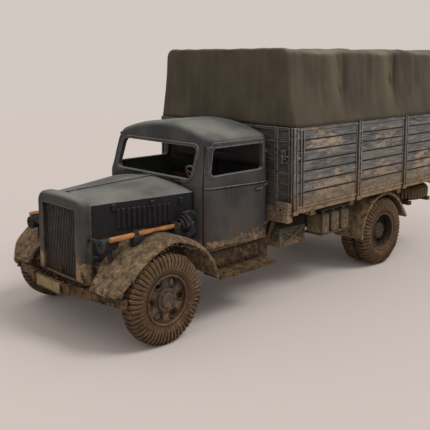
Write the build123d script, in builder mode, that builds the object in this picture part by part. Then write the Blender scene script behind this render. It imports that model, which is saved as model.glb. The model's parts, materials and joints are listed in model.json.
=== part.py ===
from build123d import *
from math import atan2, cos, degrees, hypot, radians, sin
import os

os.makedirs("parts", exist_ok=True)

# Scale model of a bonneted army cargo truck with a canvas tilt, in millimetres
# Front toward -Y, the driver's left toward +X, the tyres stand on Z = 0

# Wheels and axles
front_axle_y = -41.75
wheelbase = 64.3
tyre_r = 7.72
tyre_w = 3.2
tyre_bead_r = 4.3
tyre_side_count = 24
rim_inset = 0.25
rim_wall = 0.35
twin_gap = 0.5
front_face_x = 18.3
rear_face_x = 18.15
spindle_r = 0.8
running_fit = 0.05
hub_r = 1.9
hub_cap_r = 1.3
disc_t = 0.5
disc_hole_count = 6
disc_hole_r = 0.68
disc_hole_sides = 8
lug_h = 0.3
lug_w = 0.95
tread_shoulder_w = 0.7
tread_shoulder_h = 0.8

# Chassis frame
rail_x = 6.7
rail_w = 1.6
rail_h = 2.4
rail_wall = 0.4
rail_bottom = 10.2
crossmember_l = 1.6
crossmember_backs = (-5.6, 27.6, 50.0)
crossmember_aheads = (14.8, 3.8)
nose_depth = 2.0

# Bonnet and radiator shell
shell_ahead = 9.3
shell_half_w = 7.2
shell_bottom = 9.5
shell_top = 23.9
shell_crown = 0.4
shell_corner_r = 2.0
shell_edge_r = 0.9
grille_half_w = 5.3
grille_top = 22.2
grille_bottom = 10.0
slat_pitch = 0.53
slat_w = 0.27
slat_proud = 0.8
core_t = 0.5
bonnet_rear_inset = 2.4
bonnet_side_bottom = 13.2
bonnet_hinge_z = 22.9
bonnet_crown = 1.45
bonnet_wall = 0.6
louvre_count = 11
louvre_pitch = 0.95
louvre_h = 3.4
louvre_bottom = 18.5
catch_l = 0.7
catch_h = 1.1
catch_proud = 0.3
catch_runs = (4.0, 11.0, 16.5)
seam_w = 0.5
seam_proud = 0.22
louvre_proud = 0.18

# Cab
cab_back = 11.0
cab_l = 18.0
cab_half_w = 14.6
cab_side_lean = 0.4
cab_lean = 3.9
cab_corner_r = 2.8
cab_rear_corner_r = 1.9
cab_wall = 0.8
cab_belt_z = 24.6
roof_edge_z = 32.4
roof_crown = 2.9
roof_round = 1.6
floor_t = 0.7
screen_side_w = 3.5
screen_bottom = 25.5
screen_h = 5.75
screen_r = 1.1
door_back = 0.9
door_l = 16.1
door_window_h = 5.0
door_window_sill = 26.2
door_post = 1.2
door_slant = 1.2
door_lean = 1.6
door_depth = 2.0
door_r = 0.8
rear_window_half_w = 4.5
rear_window_h = 3.2
rim_w = 0.55
rim_proud = 0.22
gutter_z = 31.75
gutter_h = 0.4
gutter_proud = 0.35

# Fenders, running boards and front fittings
fender_outer_x = 18.1
fender_inner_x = 9.5
fender_t = 0.6
fender_crown_z = 18.0
fender_round_r = 1.0
fender_lip_h = 0.95
fender_front_ahead = 10.0
fender_front_z = 9.9
fender_rear_back = 12.4
board_l = 14.2
board_z = 8.3
board_t = 0.6
valance_x = 14.0
bumper_half_w = 17.8
bumper_flat_half_w = 4.2
bumper_ahead = 11.4
bumper_sweep = 2.7
bumper_t = 0.7
bumper_z = 8.3
bumper_h = 1.4
plate_w = 7.8
plate_h = 2.1
plate_t = 0.3
lamp_x = 11.4
lamp_z = 17.1
lamp_r = 1.1
lamp_l = 3.2
lamp_ahead = 8.5
lamp_stalk_r = 0.35
horn_x = 8.5
horn_z = 14.2
horn_r = 0.75
horn_l = 1.6

# Tools carried along the bonnet
tool_x = 12.9
tool_z = 18.3
handle_r = 0.36
blade_clear = 0.1
handle_ahead = 7.6
blade_l = 3.3
blade_h = 4.4
blade_t = 0.3
clamp_l = 2.0
clamp_w = 1.4
clamp_backs = (-2.3, 6.3)

# Load bed
bed_back = 30.0
bed_l = 61.8
bed_half_w = 19.7
bearer_h = 2.0
runner_h = 2.7
runner_w = 1.3
floor_board_t = 0.8
side_h = 16.8
side_t = 0.7
post_t = 0.3
post_w = 1.0
post_count = 4
sill_h = 1.1
lowest_board_h = 2.9
board_h = 2.05
groove_w = 0.22
groove_d = 0.18
bearer_l = 1.5
bearer_backs = (0.9, 10.0, 23.6, 42.9)

# Tilt
tilt_h = 15.1
tilt_wall = 0.9
tilt_top_half_w = 17.9
tilt_shoulder_r = 1.7
tilt_bay_count = 3
tilt_sag = 0.6
tilt_rear_rim = 1.6

# Rear mudguards, spare wheel and boxes
mudguard_r = 8.5
mudguard_t = 0.6
mudguard_inner_x = 10.9
mudguard_outer_x = 18.3
mudguard_front_angle = 182
mudguard_rear_angle = 38
mudguard_tail_l = 4.2
spare_x = 10.4
spare_ahead = 9.8
box_back = 33.0
box_l = 8.0
box_w = 4.6
box_h = 3.7
box_inset = 5.7
can_backs = (42.1, 45.6, 49.1)
can_l = 2.7
can_w = 4.2
can_h = 5.0
can_bottom = 10.7
can_inset = 4.5

# Derived places
axle_z = tyre_r
rear_axle_y = front_axle_y + wheelbase
rail_top = rail_bottom + rail_h
rail_inner_x = rail_x - rail_w / 2
rail_outer_x = rail_x + rail_w / 2
bonnet_rear_half_w = cab_half_w - bonnet_rear_inset
screen_half_w = cab_half_w - screen_side_w
cab_top_half_w = cab_half_w - cab_side_lean
shell_front = front_axle_y - shell_ahead
shell_back = shell_front + nose_depth
cab_front = front_axle_y + cab_back
cab_rear = cab_front + cab_l
bed_front = front_axle_y + bed_back
bed_rear = bed_front + bed_l
runner_z = rail_top
bearer_z = runner_z + runner_h
bed_z = bearer_z + bearer_h
side_top = bed_z + side_h
board_outer_x = bed_half_w - post_t
tilt_top = side_top + tilt_h
front_wheel_x = front_face_x - tyre_w / 2
rear_outer_x = rear_face_x - tyre_w / 2
rear_inner_x = rear_outer_x - tyre_w - twin_gap
spare_y = bed_rear - spare_ahead


def save(piece, name):
    piece.part.label = name
    export_step(piece.part, f"parts/{name}.step")


def save_pair(piece, name):
    save(piece, name + "_left")
    with BuildPart() as twin:
        mirror(piece.part, about=Plane.YZ)
    save(twin, name + "_right")


def block(x0, x1, y0, y1, z0, z1, mode=Mode.ADD):
    with Locations(((x0 + x1) / 2, (y0 + y1) / 2, (z0 + z1) / 2)):
        Box(x1 - x0, y1 - y0, z1 - z0, mode=mode)


# Chassis rails, channel section open to the inside
with BuildPart() as rail:
    with BuildSketch(Plane.XZ.offset(-shell_back)):
        with Locations((rail_x, rail_bottom + rail_h / 2)):
            Rectangle(rail_w, rail_h)
        with Locations((rail_x - rail_wall, rail_bottom + rail_h / 2)):
            Rectangle(rail_w, rail_h - 2 * rail_wall, mode=Mode.SUBTRACT)
    extrude(amount=-(bed_rear - floor_board_t - shell_back))
save_pair(rail, "chassis_rail")

# Crossmembers, seated in both channels
crossmember_places = [front_axle_y + back for back in crossmember_backs]
crossmember_places += [bed_rear - ahead for ahead in crossmember_aheads]
with BuildPart() as crossmembers:
    reach = rail_outer_x - rail_wall
    for y in crossmember_places:
        block(-reach, reach, y, y + crossmember_l, rail_bottom + rail_wall, rail_top - rail_wall)
save(crossmembers, "crossmembers")

# Engine, clutch housing and gearbox
engine_half_w = 3.6
engine_bottom = 9.2
engine_top = 19.6
engine_l = 10.0
gearbox_half_w = 1.7
gearbox_l = 8.6
mount_l = 2.0
engine_behind_shell = 3.8
engine_front = shell_back + engine_behind_shell
engine_rear = engine_front + engine_l
gearbox_rear = engine_rear + gearbox_l
with BuildPart() as engine:
    block(-engine_half_w, engine_half_w, engine_front, engine_rear, engine_bottom, engine_top)
    block(-gearbox_half_w, gearbox_half_w, engine_rear, gearbox_rear, engine_bottom, rail_top - rail_wall)
    block(-rail_inner_x, rail_inner_x, engine_rear - 2 * mount_l, engine_rear - mount_l,
          rail_bottom + rail_wall, rail_top - rail_wall)
save(engine, "engine_and_gearbox")

# Front axle beam with knuckles, tie rod and wheel spindles
beam_h = 1.3
beam_l = 1.1
knuckle_r = 0.85
knuckle_x = 12.6
knuckle_h = 2.8
tie_rod_r = 0.3
tie_rod_back = 1.9
arm_half_w = 0.35
spindle_past_middle = 0.2
tie_rod_z = axle_z - beam_h / 2
with BuildPart() as front_axle:
    block(-knuckle_x, knuckle_x, front_axle_y - beam_l / 2, front_axle_y + beam_l / 2,
          axle_z - beam_h / 2, axle_z + beam_h / 2)
    with Locations(*[(side * knuckle_x, front_axle_y, axle_z) for side in (-1, 1)]):
        Cylinder(knuckle_r, knuckle_h)
    for side in (-1, 1):
        with BuildSketch(Plane.YZ.offset(side * knuckle_x)):
            with Locations((front_axle_y, axle_z)):
                Circle(spindle_r)
        extrude(amount=side * (front_wheel_x + spindle_past_middle - knuckle_x))
    with BuildSketch(Plane.YZ.offset(-knuckle_x)):
        with Locations((front_axle_y + tie_rod_back, tie_rod_z)):
            Circle(tie_rod_r)
    extrude(amount=2 * knuckle_x)
    for side in (-1, 1):
        block(side * knuckle_x - arm_half_w, side * knuckle_x + arm_half_w, front_axle_y,
              front_axle_y + tie_rod_back + tie_rod_r, tie_rod_z - tie_rod_r, tie_rod_z + tie_rod_r)
save(front_axle, "front_axle")

# Rear axle with its differential and wheel spindles
axle_tube_r = 1.2
diff_r = 2.9
diff_w = 3.4
diff_edge = 0.8
tube_end_gap = 0.4
tube_end_x = rear_inner_x - tyre_w / 2 - tube_end_gap
with BuildPart() as rear_axle:
    with BuildSketch(Plane.YZ.offset(-tube_end_x)):
        with Locations((rear_axle_y, axle_z)):
            Circle(axle_tube_r)
    extrude(amount=2 * tube_end_x)
    with BuildSketch(Plane.YZ.offset(-rear_outer_x)):
        with Locations((rear_axle_y, axle_z)):
            Circle(spindle_r)
    extrude(amount=2 * rear_outer_x)
    with BuildSketch(Plane.YZ.offset(-diff_w / 2)):
        with Locations((rear_axle_y, axle_z)):
            Circle(diff_r)
    extrude(amount=diff_w)
    chamfer(rear_axle.edges().filter_by(GeomType.CIRCLE).group_by(Edge.length)[-1], diff_edge)
save(rear_axle, "rear_axle")

# Propeller shaft from the gearbox to the differential
propshaft_r = 0.6
shaft_end_gap = 0.02
shaft_start = Vector(0, gearbox_rear, (engine_bottom + rail_top - rail_wall) / 2)
shaft_end = Vector(0, rear_axle_y - diff_r, axle_z)
shaft_run = shaft_end - shaft_start
with BuildPart() as propshaft:
    with BuildSketch(Plane(origin=shaft_start, z_dir=shaft_run)):
        Circle(propshaft_r)
    extrude(amount=shaft_run.length - shaft_end_gap)
    block(-gearbox_half_w, gearbox_half_w, engine_rear, gearbox_rear, 0, rail_top, mode=Mode.SUBTRACT)
save(propshaft, "propshaft")


# Leaf springs: stepped leaves hung from the rail at both ends, seated on the axle
spring_gap = 0.35
hanger_l = 0.8
spring_w = 1.2
spring_inner_x = rail_x - spring_w / 2
spring_outer_x = rail_x + spring_w / 2


def leaf_springs(axle_y, seat_z, half_l, leaves):
    leaf_t = (rail_bottom - spring_gap - seat_z) / leaves
    with BuildPart() as pack:
        for n in range(leaves):
            half = half_l * (leaves - n) / leaves
            top = rail_bottom - spring_gap - n * leaf_t
            block(spring_inner_x, spring_outer_x, axle_y - half, axle_y + half, top - leaf_t, top)
        for side in (-1, 1):
            y = axle_y + side * (half_l - hanger_l / 2)
            block(spring_inner_x, spring_outer_x, y - hanger_l / 2, y + hanger_l / 2,
                  rail_bottom - spring_gap - leaf_t, rail_bottom)
    return pack


riser_l = 0.3
front_spring_half_l = front_axle_y - shell_back - riser_l
rear_spring_half_l = 9.5
leaf_count = 3
save_pair(leaf_springs(front_axle_y, axle_z + beam_h / 2, front_spring_half_l, leaf_count), "front_spring")
save_pair(leaf_springs(rear_axle_y, axle_z + axle_tube_r, rear_spring_half_l, leaf_count), "rear_spring")

# Exhaust silencer and pipes along the right rail
silencer_r = 1.2
silencer_l = 10.0
silencer_back = 33.0
pipe_r = 0.4
pipe_l = 9.0
strap_w = 0.8
strap_t = 0.4
strap_inset = 1.0
exhaust_inset = 2.6
exhaust_x = rail_x - exhaust_inset
exhaust_z = rail_bottom - silencer_r / 2
silencer_y = front_axle_y + silencer_back
with BuildPart() as exhaust:
    with BuildSketch(Plane.XZ.offset(-silencer_y)):
        with Locations((-exhaust_x, exhaust_z)):
            Circle(silencer_r)
    extrude(amount=-silencer_l)
    with BuildSketch(Plane.XZ.offset(-(silencer_y - pipe_l))):
        with Locations((-exhaust_x, exhaust_z)):
            Circle(pipe_r)
    extrude(amount=-(silencer_l + 2 * pipe_l))
    for y in (silencer_y + strap_inset, silencer_y + silencer_l - strap_inset - strap_w):
        block(-rail_x, -exhaust_x, y, y + strap_w, rail_bottom - strap_t, rail_bottom)
save(exhaust, "exhaust")


# Tyre with flat walls, sloped shoulders and one lug on each flat of its tread
tread_r = tyre_r - lug_h
shoulder_r = tread_r - tread_shoulder_h


def tyre_ring(x, radius):
    with BuildSketch(Plane.YZ.offset(x)) as ring:
        RegularPolygon(radius, tyre_side_count, rotation=180 / tyre_side_count)
    return ring.sketch


def tyre_at(centre_x, axle_y):
    half = tyre_w / 2
    tread_half = half - tread_shoulder_w
    lug_root_r = tread_r * cos(radians(180 / tyre_side_count))
    with BuildPart() as tyre:
        loft([tyre_ring(-tread_half, tread_r), tyre_ring(tread_half, tread_r)])
        for side in (-1, 1):
            loft([tyre_ring(side * tread_half, tread_r), tyre_ring(side * half, shoulder_r)])
        with BuildSketch(Plane.YZ.offset(-tread_half)):
            with PolarLocations((lug_root_r + tyre_r) / 2 - lug_h / 2, tyre_side_count):
                Rectangle(tyre_r - lug_root_r + lug_h, lug_w)
        extrude(amount=2 * tread_half)
        with BuildSketch(Plane.YZ.offset(-half)):
            Circle(tyre_bead_r)
        extrude(amount=tyre_w, mode=Mode.SUBTRACT)
    with BuildPart() as placed:
        add(tyre.part.moved(Location((centre_x, axle_y, axle_z))))
    return placed


# Front wheel disc: rim barrel, convex disc with hand holes, hub and cap
rim_r = tyre_bead_r
rim_inner_r = rim_r - rim_wall
hole_ring_r = 3.15
front_dish = 0.75
rear_dish = 1.3
cap_proud = 0.35
cap_edge = 0.2
disc_overlap = 0.1
rear_cap_proud = 0.5
rear_cap_edge = 0.3
bore_past_spindle = 0.1


def rim_barrel(centre_x):
    half = tyre_w / 2 - rim_inset
    with BuildSketch(Plane.YZ.offset(centre_x - half)) as ring:
        Circle(rim_r)
        Circle(rim_inner_r, mode=Mode.SUBTRACT)
    extrude(ring.sketch, amount=2 * half)


def disc_holes(x):
    with BuildSketch(Plane.YZ.offset(x - disc_t)) as holes:
        with PolarLocations(hole_ring_r, disc_hole_count):
            RegularPolygon(disc_hole_r, disc_hole_sides)
    extrude(holes.sketch, amount=3 * disc_t, mode=Mode.SUBTRACT)


with BuildPart() as front_disc:
    rim_barrel(0)
    disc_x = tyre_w / 2 - front_dish - disc_t
    with BuildSketch(Plane.YZ.offset(disc_x)):
        Circle(rim_inner_r + disc_overlap)
    extrude(amount=disc_t)
    disc_holes(disc_x)
    with BuildSketch(Plane.YZ.offset(-tyre_w / 2)):
        Circle(hub_r)
    extrude(amount=tyre_w - cap_proud)
    with BuildSketch(Plane.YZ.offset(tyre_w / 2 - cap_proud)):
        Circle(hub_cap_r)
    extrude(amount=cap_proud)
    chamfer(front_disc.faces().sort_by(Axis.X)[-1].edges(), cap_edge)
    with BuildSketch(Plane.YZ.offset(-tyre_w / 2)):
        Circle(spindle_r + running_fit)
    extrude(amount=tyre_w / 2 + spindle_past_middle + bore_past_spindle, mode=Mode.SUBTRACT)
with BuildPart() as front_disc_placed:
    add(front_disc.part.moved(Location((front_wheel_x, front_axle_y, axle_z))))
save_pair(front_disc_placed, "front_wheel_disc")
save_pair(tyre_at(front_wheel_x, front_axle_y), "front_tyre")

# Rear twin wheel: two rims on one hub, the outer disc dished inward
with BuildPart() as rear_disc:
    inner_offset = rear_inner_x - rear_outer_x
    rim_barrel(0)
    rim_barrel(inner_offset)
    disc_x = -rear_dish
    with BuildSketch(Plane.YZ.offset(disc_x)):
        Circle(rim_inner_r + disc_overlap)
    extrude(amount=disc_t)
    with BuildSketch(Plane.YZ.offset(inner_offset + rear_dish - disc_t)):
        Circle(rim_inner_r + disc_overlap)
    extrude(amount=disc_t)
    disc_holes(disc_x)
    with BuildSketch(Plane.YZ.offset(inner_offset - tyre_w / 2)):
        Circle(hub_r)
    extrude(amount=tyre_w / 2 - inner_offset + rear_cap_proud)
    rear_cap = rear_disc.faces().filter_by(Axis.X).sort_by_distance((rear_cap_proud, 0, 0))[0]
    chamfer(rear_cap.edges(), rear_cap_edge)
    with BuildSketch(Plane.YZ.offset(inner_offset - tyre_w / 2)):
        Circle(spindle_r + running_fit)
    extrude(amount=tyre_w / 2 - inner_offset + bore_past_spindle, mode=Mode.SUBTRACT)
with BuildPart() as rear_disc_placed:
    add(rear_disc.part.moved(Location((rear_outer_x, rear_axle_y, axle_z))))
save_pair(rear_disc_placed, "rear_wheel_disc")
outer_tyre = tyre_at(rear_outer_x, rear_axle_y)
inner_tyre = tyre_at(rear_inner_x, rear_axle_y)
with BuildPart() as rear_tyres:
    add(outer_tyre.part)
    add(inner_tyre.part)
save_pair(rear_tyres, "rear_tyres")

# Front bumper, flat in the middle and swept back to its ends
bumper_front = front_axle_y - bumper_ahead
bumper_end = bumper_front + bumper_sweep
bracket_w = 1.2
bracket_h = 0.9
bracket_z = bumper_z + 0.1
with BuildPart() as bumper:
    with BuildSketch(Plane.XY.offset(bumper_z)):
        with BuildLine():
            Polyline((-bumper_half_w, bumper_end), (-bumper_flat_half_w, bumper_front),
                     (bumper_flat_half_w, bumper_front), (bumper_half_w, bumper_end))
            Polyline((bumper_half_w, bumper_end), (bumper_half_w, bumper_end + bumper_t),
                     (bumper_flat_half_w, bumper_front + bumper_t),
                     (-bumper_flat_half_w, bumper_front + bumper_t),
                     (-bumper_half_w, bumper_end + bumper_t), (-bumper_half_w, bumper_end))
        make_face()
    extrude(amount=bumper_h)
    for side in (-1, 1):
        x = side * rail_x
        block(x - bracket_w / 2, x + bracket_w / 2, bumper_front + bumper_t, shell_back + riser_l,
              bracket_z, bracket_z + bracket_h)
        block(x - bracket_w / 2, x + bracket_w / 2, shell_back, shell_back + riser_l, bracket_z, rail_bottom)
save(bumper, "bumper")

# Blank plate on the bumper
with BuildPart() as plate:
    block(-plate_w / 2, plate_w / 2, bumper_front - plate_t, bumper_front,
          bumper_z + bumper_h / 2 - plate_h / 2, bumper_z + bumper_h / 2 + plate_h / 2)
save(plate, "number_plate")

# Radiator shell, a deep surround with rounded edges
with BuildPart() as shell:
    with BuildSketch(Plane.XZ.offset(-shell_front)):
        with BuildLine():
            Polyline((-shell_half_w, shell_top), (-shell_half_w, shell_bottom),
                     (shell_half_w, shell_bottom), (shell_half_w, shell_top))
            ThreePointArc((shell_half_w, shell_top), (0, shell_top + shell_crown), (-shell_half_w, shell_top))
        face = make_face()
        fillet(face.vertices().group_by(Axis.Y)[-1], shell_corner_r)
    extrude(amount=-nose_depth)
    fillet(shell.faces().sort_by(Axis.Y)[0].edges(), shell_edge_r)
    block(-grille_half_w, grille_half_w, shell_front, shell_back, grille_bottom, grille_top,
          mode=Mode.SUBTRACT)
save(shell, "radiator_shell")

# Grille: vertical slats on the radiator core, the piece that takes the most care
slat_count = int(2 * grille_half_w / slat_pitch)
core_front = shell_back - core_t
with BuildPart() as grille:
    block(-grille_half_w, grille_half_w, core_front, shell_back, grille_bottom, grille_top)
    with BuildSketch(Plane.XZ.offset(-core_front)):
        with Locations((0, (grille_bottom + grille_top) / 2)):
            with GridLocations(slat_pitch, 1, slat_count, 1):
                Rectangle(slat_w, grille_top - grille_bottom)
    extrude(amount=slat_proud)
save(grille, "grille")

# Bonnet: crowned top, two side panels with louvres, lofted from shell to cab
bonnet_front_half_w = shell_half_w - 0.1
bonnet_rear_gain = 0.6
bonnet_cut_top = bonnet_hinge_z + 2 * bonnet_crown


def bonnet_section(y, half_w, hinge_z, inset):
    with BuildSketch(Plane.XZ.offset(-y)) as section:
        with BuildLine():
            Line((-half_w + inset, hinge_z), (half_w - inset, hinge_z))
            ThreePointArc((half_w - inset, hinge_z), (0, hinge_z + bonnet_crown - inset),
                          (-half_w + inset, hinge_z))
        make_face()
    return section.sketch


def bonnet_mass(inset, mode):
    loft([bonnet_section(shell_back, bonnet_front_half_w, bonnet_hinge_z, inset),
          bonnet_section(cab_front, bonnet_rear_half_w, bonnet_hinge_z + bonnet_rear_gain, inset)], mode=mode)


def seam_section(y, hinge_z):
    with BuildSketch(Plane.XZ.offset(-y)) as section:
        with Locations((0, hinge_z + bonnet_crown - bonnet_wall / 2)):
            Rectangle(seam_w, bonnet_wall + 2 * seam_proud)
    return section.sketch


with BuildPart() as bonnet:
    bonnet_mass(0, Mode.ADD)
    bonnet_mass(bonnet_wall, Mode.SUBTRACT)
    loft([seam_section(shell_back, bonnet_hinge_z),
          seam_section(cab_front, bonnet_hinge_z + bonnet_rear_gain)])
save(bonnet, "bonnet")

side_run = Vector(bonnet_rear_half_w - bonnet_front_half_w, cab_front - shell_back, 0)
side_plane = Plane(origin=(bonnet_front_half_w, shell_back, 0), x_dir=side_run,
                   z_dir=(side_run.Y, -side_run.X, 0))
louvre_z = louvre_bottom + louvre_h / 2
catch_z = bonnet_hinge_z - 0.7
with BuildPart() as bonnet_side:
    with BuildSketch(side_plane):
        with BuildLine():
            Polyline((0, bonnet_side_bottom), (side_run.length, bonnet_side_bottom),
                     (side_run.length, bonnet_hinge_z + bonnet_rear_gain), (0, bonnet_hinge_z), close=True)
        make_face()
    extrude(amount=-bonnet_wall)
    with BuildSketch(side_plane):
        with Locations((side_run.length / 2, louvre_z)):
            with GridLocations(louvre_pitch, 1, louvre_count, 1):
                Rectangle(louvre_pitch / 2, louvre_h)
    extrude(amount=louvre_proud)
    with BuildSketch(side_plane):
        with Locations(*[(run, catch_z) for run in catch_runs]):
            Rectangle(catch_l, catch_h)
    extrude(amount=catch_proud)
    block(0, cab_half_w, shell_front, shell_back, 0, bonnet_cut_top, mode=Mode.SUBTRACT)
    block(0, cab_half_w, cab_front, cab_rear, 0, bonnet_cut_top, mode=Mode.SUBTRACT)
save_pair(bonnet_side, "bonnet_side")


# Cab: rounded body with a raked screen and a crowned roof
cab_bottom = rail_top
roof_peak = roof_edge_z + roof_crown


def cab_plan(z, inset, half_w, lean):
    front = cab_front + lean + inset
    rear = cab_rear - inset
    with BuildSketch(Plane.XY.offset(z)) as plan:
        with Locations((0, (front + rear) / 2)):
            Rectangle(2 * (half_w - inset), rear - front)
        fillet(plan.vertices().group_by(Axis.Y)[0], cab_corner_r - inset)
        fillet(plan.vertices().group_by(Axis.Y)[-1], cab_rear_corner_r - inset)
    return plan.sketch


def cab_form(inset, bottom):
    round_r = roof_round - inset
    with BuildPart() as form:
        extrude(cab_plan(bottom, inset, cab_half_w, 0), amount=cab_belt_z - bottom)
        loft([cab_plan(cab_belt_z, inset, cab_half_w, 0),
              cab_plan(roof_peak + 1, inset, cab_top_half_w, cab_lean)])
        with BuildSketch(Plane.XZ.offset(-cab_rear - 1)):
            with BuildLine():
                Polyline((-cab_half_w, roof_edge_z - inset), (-cab_half_w, bottom - 1),
                         (cab_half_w, bottom - 1), (cab_half_w, roof_edge_z - inset))
                ThreePointArc((cab_half_w, roof_edge_z - inset), (0, roof_peak - inset),
                              (-cab_half_w, roof_edge_z - inset))
            make_face()
        extrude(amount=cab_l + 2, mode=Mode.INTERSECT)
        fillet(form.faces().sort_by(Axis.Z)[-1].edges(), round_r)
    return form


door_front = cab_front + door_back
door_rear = door_front + door_l
door_top = roof_edge_z - 1.0
window_top = door_window_sill + door_window_h


def door_outline(side, mode):
    with BuildSketch(Plane.YZ.offset(side * cab_half_w)) as outline:
        with BuildLine():
            Polyline((door_front, cab_bottom), (door_front, cab_belt_z), (door_front + door_lean, door_top),
                     (door_rear, door_top), (door_rear, cab_bottom), close=True)
        make_face()
    extrude(outline.sketch, amount=door_depth, both=True, mode=mode)


def screen_opening(margin, mode):
    with BuildSketch(Plane.XZ.offset(-cab_front)) as opening:
        with Locations((0, screen_bottom + screen_h / 2)):
            RectangleRounded(2 * (screen_half_w + margin), screen_h + 2 * margin, screen_r + margin)
    extrude(opening.sketch, amount=cab_lean + 2 * cab_wall, both=True, mode=mode)


def door_window(margin, mode):
    front = door_front + door_post - margin
    rear = door_rear - door_post + margin
    low = door_window_sill - margin
    high = window_top + margin
    with BuildSketch(Plane.YZ) as opening:
        with BuildLine():
            Polyline((front, low), (front + door_slant, high), (rear, high), (rear, low), close=True)
        pane = make_face()
        fillet(pane.vertices(), door_r + margin)
    extrude(opening.sketch, amount=cab_half_w + cab_wall, both=True, mode=mode)


cab_outer = cab_form(0, cab_bottom)
cab_inner = cab_form(cab_wall, cab_bottom - 1)
rim_region = cab_form(-rim_proud, cab_belt_z - 1)
gutter_region = cab_form(-gutter_proud, cab_belt_z - 1)
with BuildPart() as rim_rings:
    screen_opening(rim_w, Mode.ADD)
    door_window(rim_w, Mode.ADD)
with BuildPart() as gutter_blocks:
    for side in (-1, 1):
        x = side * cab_half_w
        block(x - cab_wall, x + cab_wall, door_front + door_slant, cab_rear - cab_rear_corner_r,
              gutter_z, gutter_z + gutter_h)
with BuildPart() as rims:
    add(rim_region.part)
    add(rim_rings.part, mode=Mode.INTERSECT)
with BuildPart() as gutters:
    add(gutter_region.part)
    add(gutter_blocks.part, mode=Mode.INTERSECT)
with BuildPart() as cab:
    add(cab_outer.part)
    add(rims.part)
    add(gutters.part)
    add(cab_inner.part, mode=Mode.SUBTRACT)
    screen_opening(0, Mode.SUBTRACT)
    with BuildSketch(Plane.XZ.offset(-cab_rear + 2 * cab_wall)):
        with Locations((0, window_top - rear_window_h / 2)):
            RectangleRounded(2 * rear_window_half_w, rear_window_h, screen_r)
    extrude(amount=-3 * cab_wall, mode=Mode.SUBTRACT)

with BuildPart() as door:
    add(cab.part)
    door_outline(1, Mode.INTERSECT)
    door_window(0, Mode.SUBTRACT)
save_pair(door, "door")

with BuildPart() as cab_shell:
    add(cab.part)
    door_outline(1, Mode.SUBTRACT)
    door_outline(-1, Mode.SUBTRACT)
save(cab_shell, "cab_shell")

# Cab floor on the rails, with the seat, dashboard and steering wheel
with BuildPart() as cab_floor:
    extrude(cab_plan(cab_bottom, cab_wall, cab_half_w, 0), amount=floor_t)
save(cab_floor, "cab_floor")

seat_half_w = cab_half_w - cab_rear_corner_r
seat_l = 6.6
seat_h = 5.4
seat_back_l = 1.6
seat_head_l = 1.0
seat_edge_r = 0.4
seat_back_top = 26.6
cab_floor_top = cab_bottom + floor_t
seat_top = cab_floor_top + seat_h
seat_rear = cab_rear - cab_wall
with BuildPart() as seat:
    with BuildSketch(Plane.YZ.offset(-seat_half_w)):
        with BuildLine():
            Polyline((seat_rear, cab_floor_top), (seat_rear, seat_back_top),
                     (seat_rear - seat_head_l, seat_back_top), (seat_rear - seat_back_l, seat_top),
                     (seat_rear - seat_l, seat_top), (seat_rear - seat_l, cab_floor_top), close=True)
        cushion = make_face()
        fillet(cushion.vertices().group_by(Axis.Y)[-1], seat_edge_r)
    extrude(amount=2 * seat_half_w)
save(seat, "seat")

dash_l = 1.5
dash_h = 4.2
dash_edge_r = 0.5
dash_half_w = cab_half_w - cab_corner_r
with BuildPart() as dashboard:
    block(-dash_half_w, dash_half_w, cab_front + cab_wall, cab_front + cab_wall + dash_l,
          cab_belt_z - dash_h, cab_belt_z)
    fillet(dashboard.edges().filter_by(Axis.X).group_by(Axis.Y)[-1], dash_edge_r)
save(dashboard, "dashboard")

steering_r = 2.2
steering_wire_r = 0.22
column_r = 0.3
steering_x = 6.8
steering_back = 4.6
steering_z = 25.2
column_tilt = 58
steering_centre = Vector(steering_x, cab_front + cab_wall + steering_back, steering_z)
column_direction = Vector(0, sin(radians(column_tilt)), cos(radians(column_tilt)))
steering_plane = Plane(origin=steering_centre, x_dir=(1, 0, 0), z_dir=column_direction)
wire_start = steering_centre + Vector(steering_r, 0, 0)
with BuildPart() as steering:
    with BuildSketch(Plane(origin=wire_start, x_dir=(1, 0, 0), z_dir=(0, 1, 0))):
        RegularPolygon(steering_wire_r, 6)
    revolve(axis=Axis(steering_centre, column_direction))
    with BuildSketch(steering_plane.offset(-steering_wire_r)):
        Rectangle(2 * steering_r, 2 * steering_wire_r)
        Rectangle(2 * steering_wire_r, 2 * steering_r)
        Circle(2 * column_r)
    extrude(amount=2 * steering_wire_r)
    with BuildSketch(steering_plane):
        Circle(column_r)
    extrude(amount=-3 * steering_back)
    block(0, cab_half_w, shell_front, cab_front + cab_wall + dash_l, 0, roof_peak, mode=Mode.SUBTRACT)
save(steering, "steering_wheel")


# Front fenders: a swept band with an inner apron and a shelf to the rail
fender_front = front_axle_y - fender_front_ahead
fender_rear = front_axle_y + fender_rear_back
fender_end_z = board_z + board_t
crown_back = 1.4
rise_ahead = 5.4
rise_drop = 2.9
fall_back = 7.8
fall_drop = 2.3


def fender_curve(inset):
    slanted = 0.7 * inset
    first = (fender_front + inset, fender_front_z)
    rise = (front_axle_y - rise_ahead + slanted, fender_crown_z - rise_drop - slanted)
    crown = (front_axle_y + crown_back, fender_crown_z - inset)
    fall = (front_axle_y + fall_back - slanted, fender_crown_z - fall_drop - slanted)
    last = (fender_rear - inset, fender_end_z)
    return first, rise, crown, fall, last


def fender_region(inset, base_z=None):
    first, rise, crown, fall, last = fender_curve(inset)
    with BuildSketch(Plane.YZ.offset(fender_inner_x + inset)) as region:
        with BuildLine():
            ThreePointArc(first, rise, crown)
            ThreePointArc(crown, fall, last)
            if base_z is None:
                Line(last, first)
            else:
                Polyline(last, (last[0], base_z), (first[0], base_z), first)
        make_face()
    return region.sketch


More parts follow.
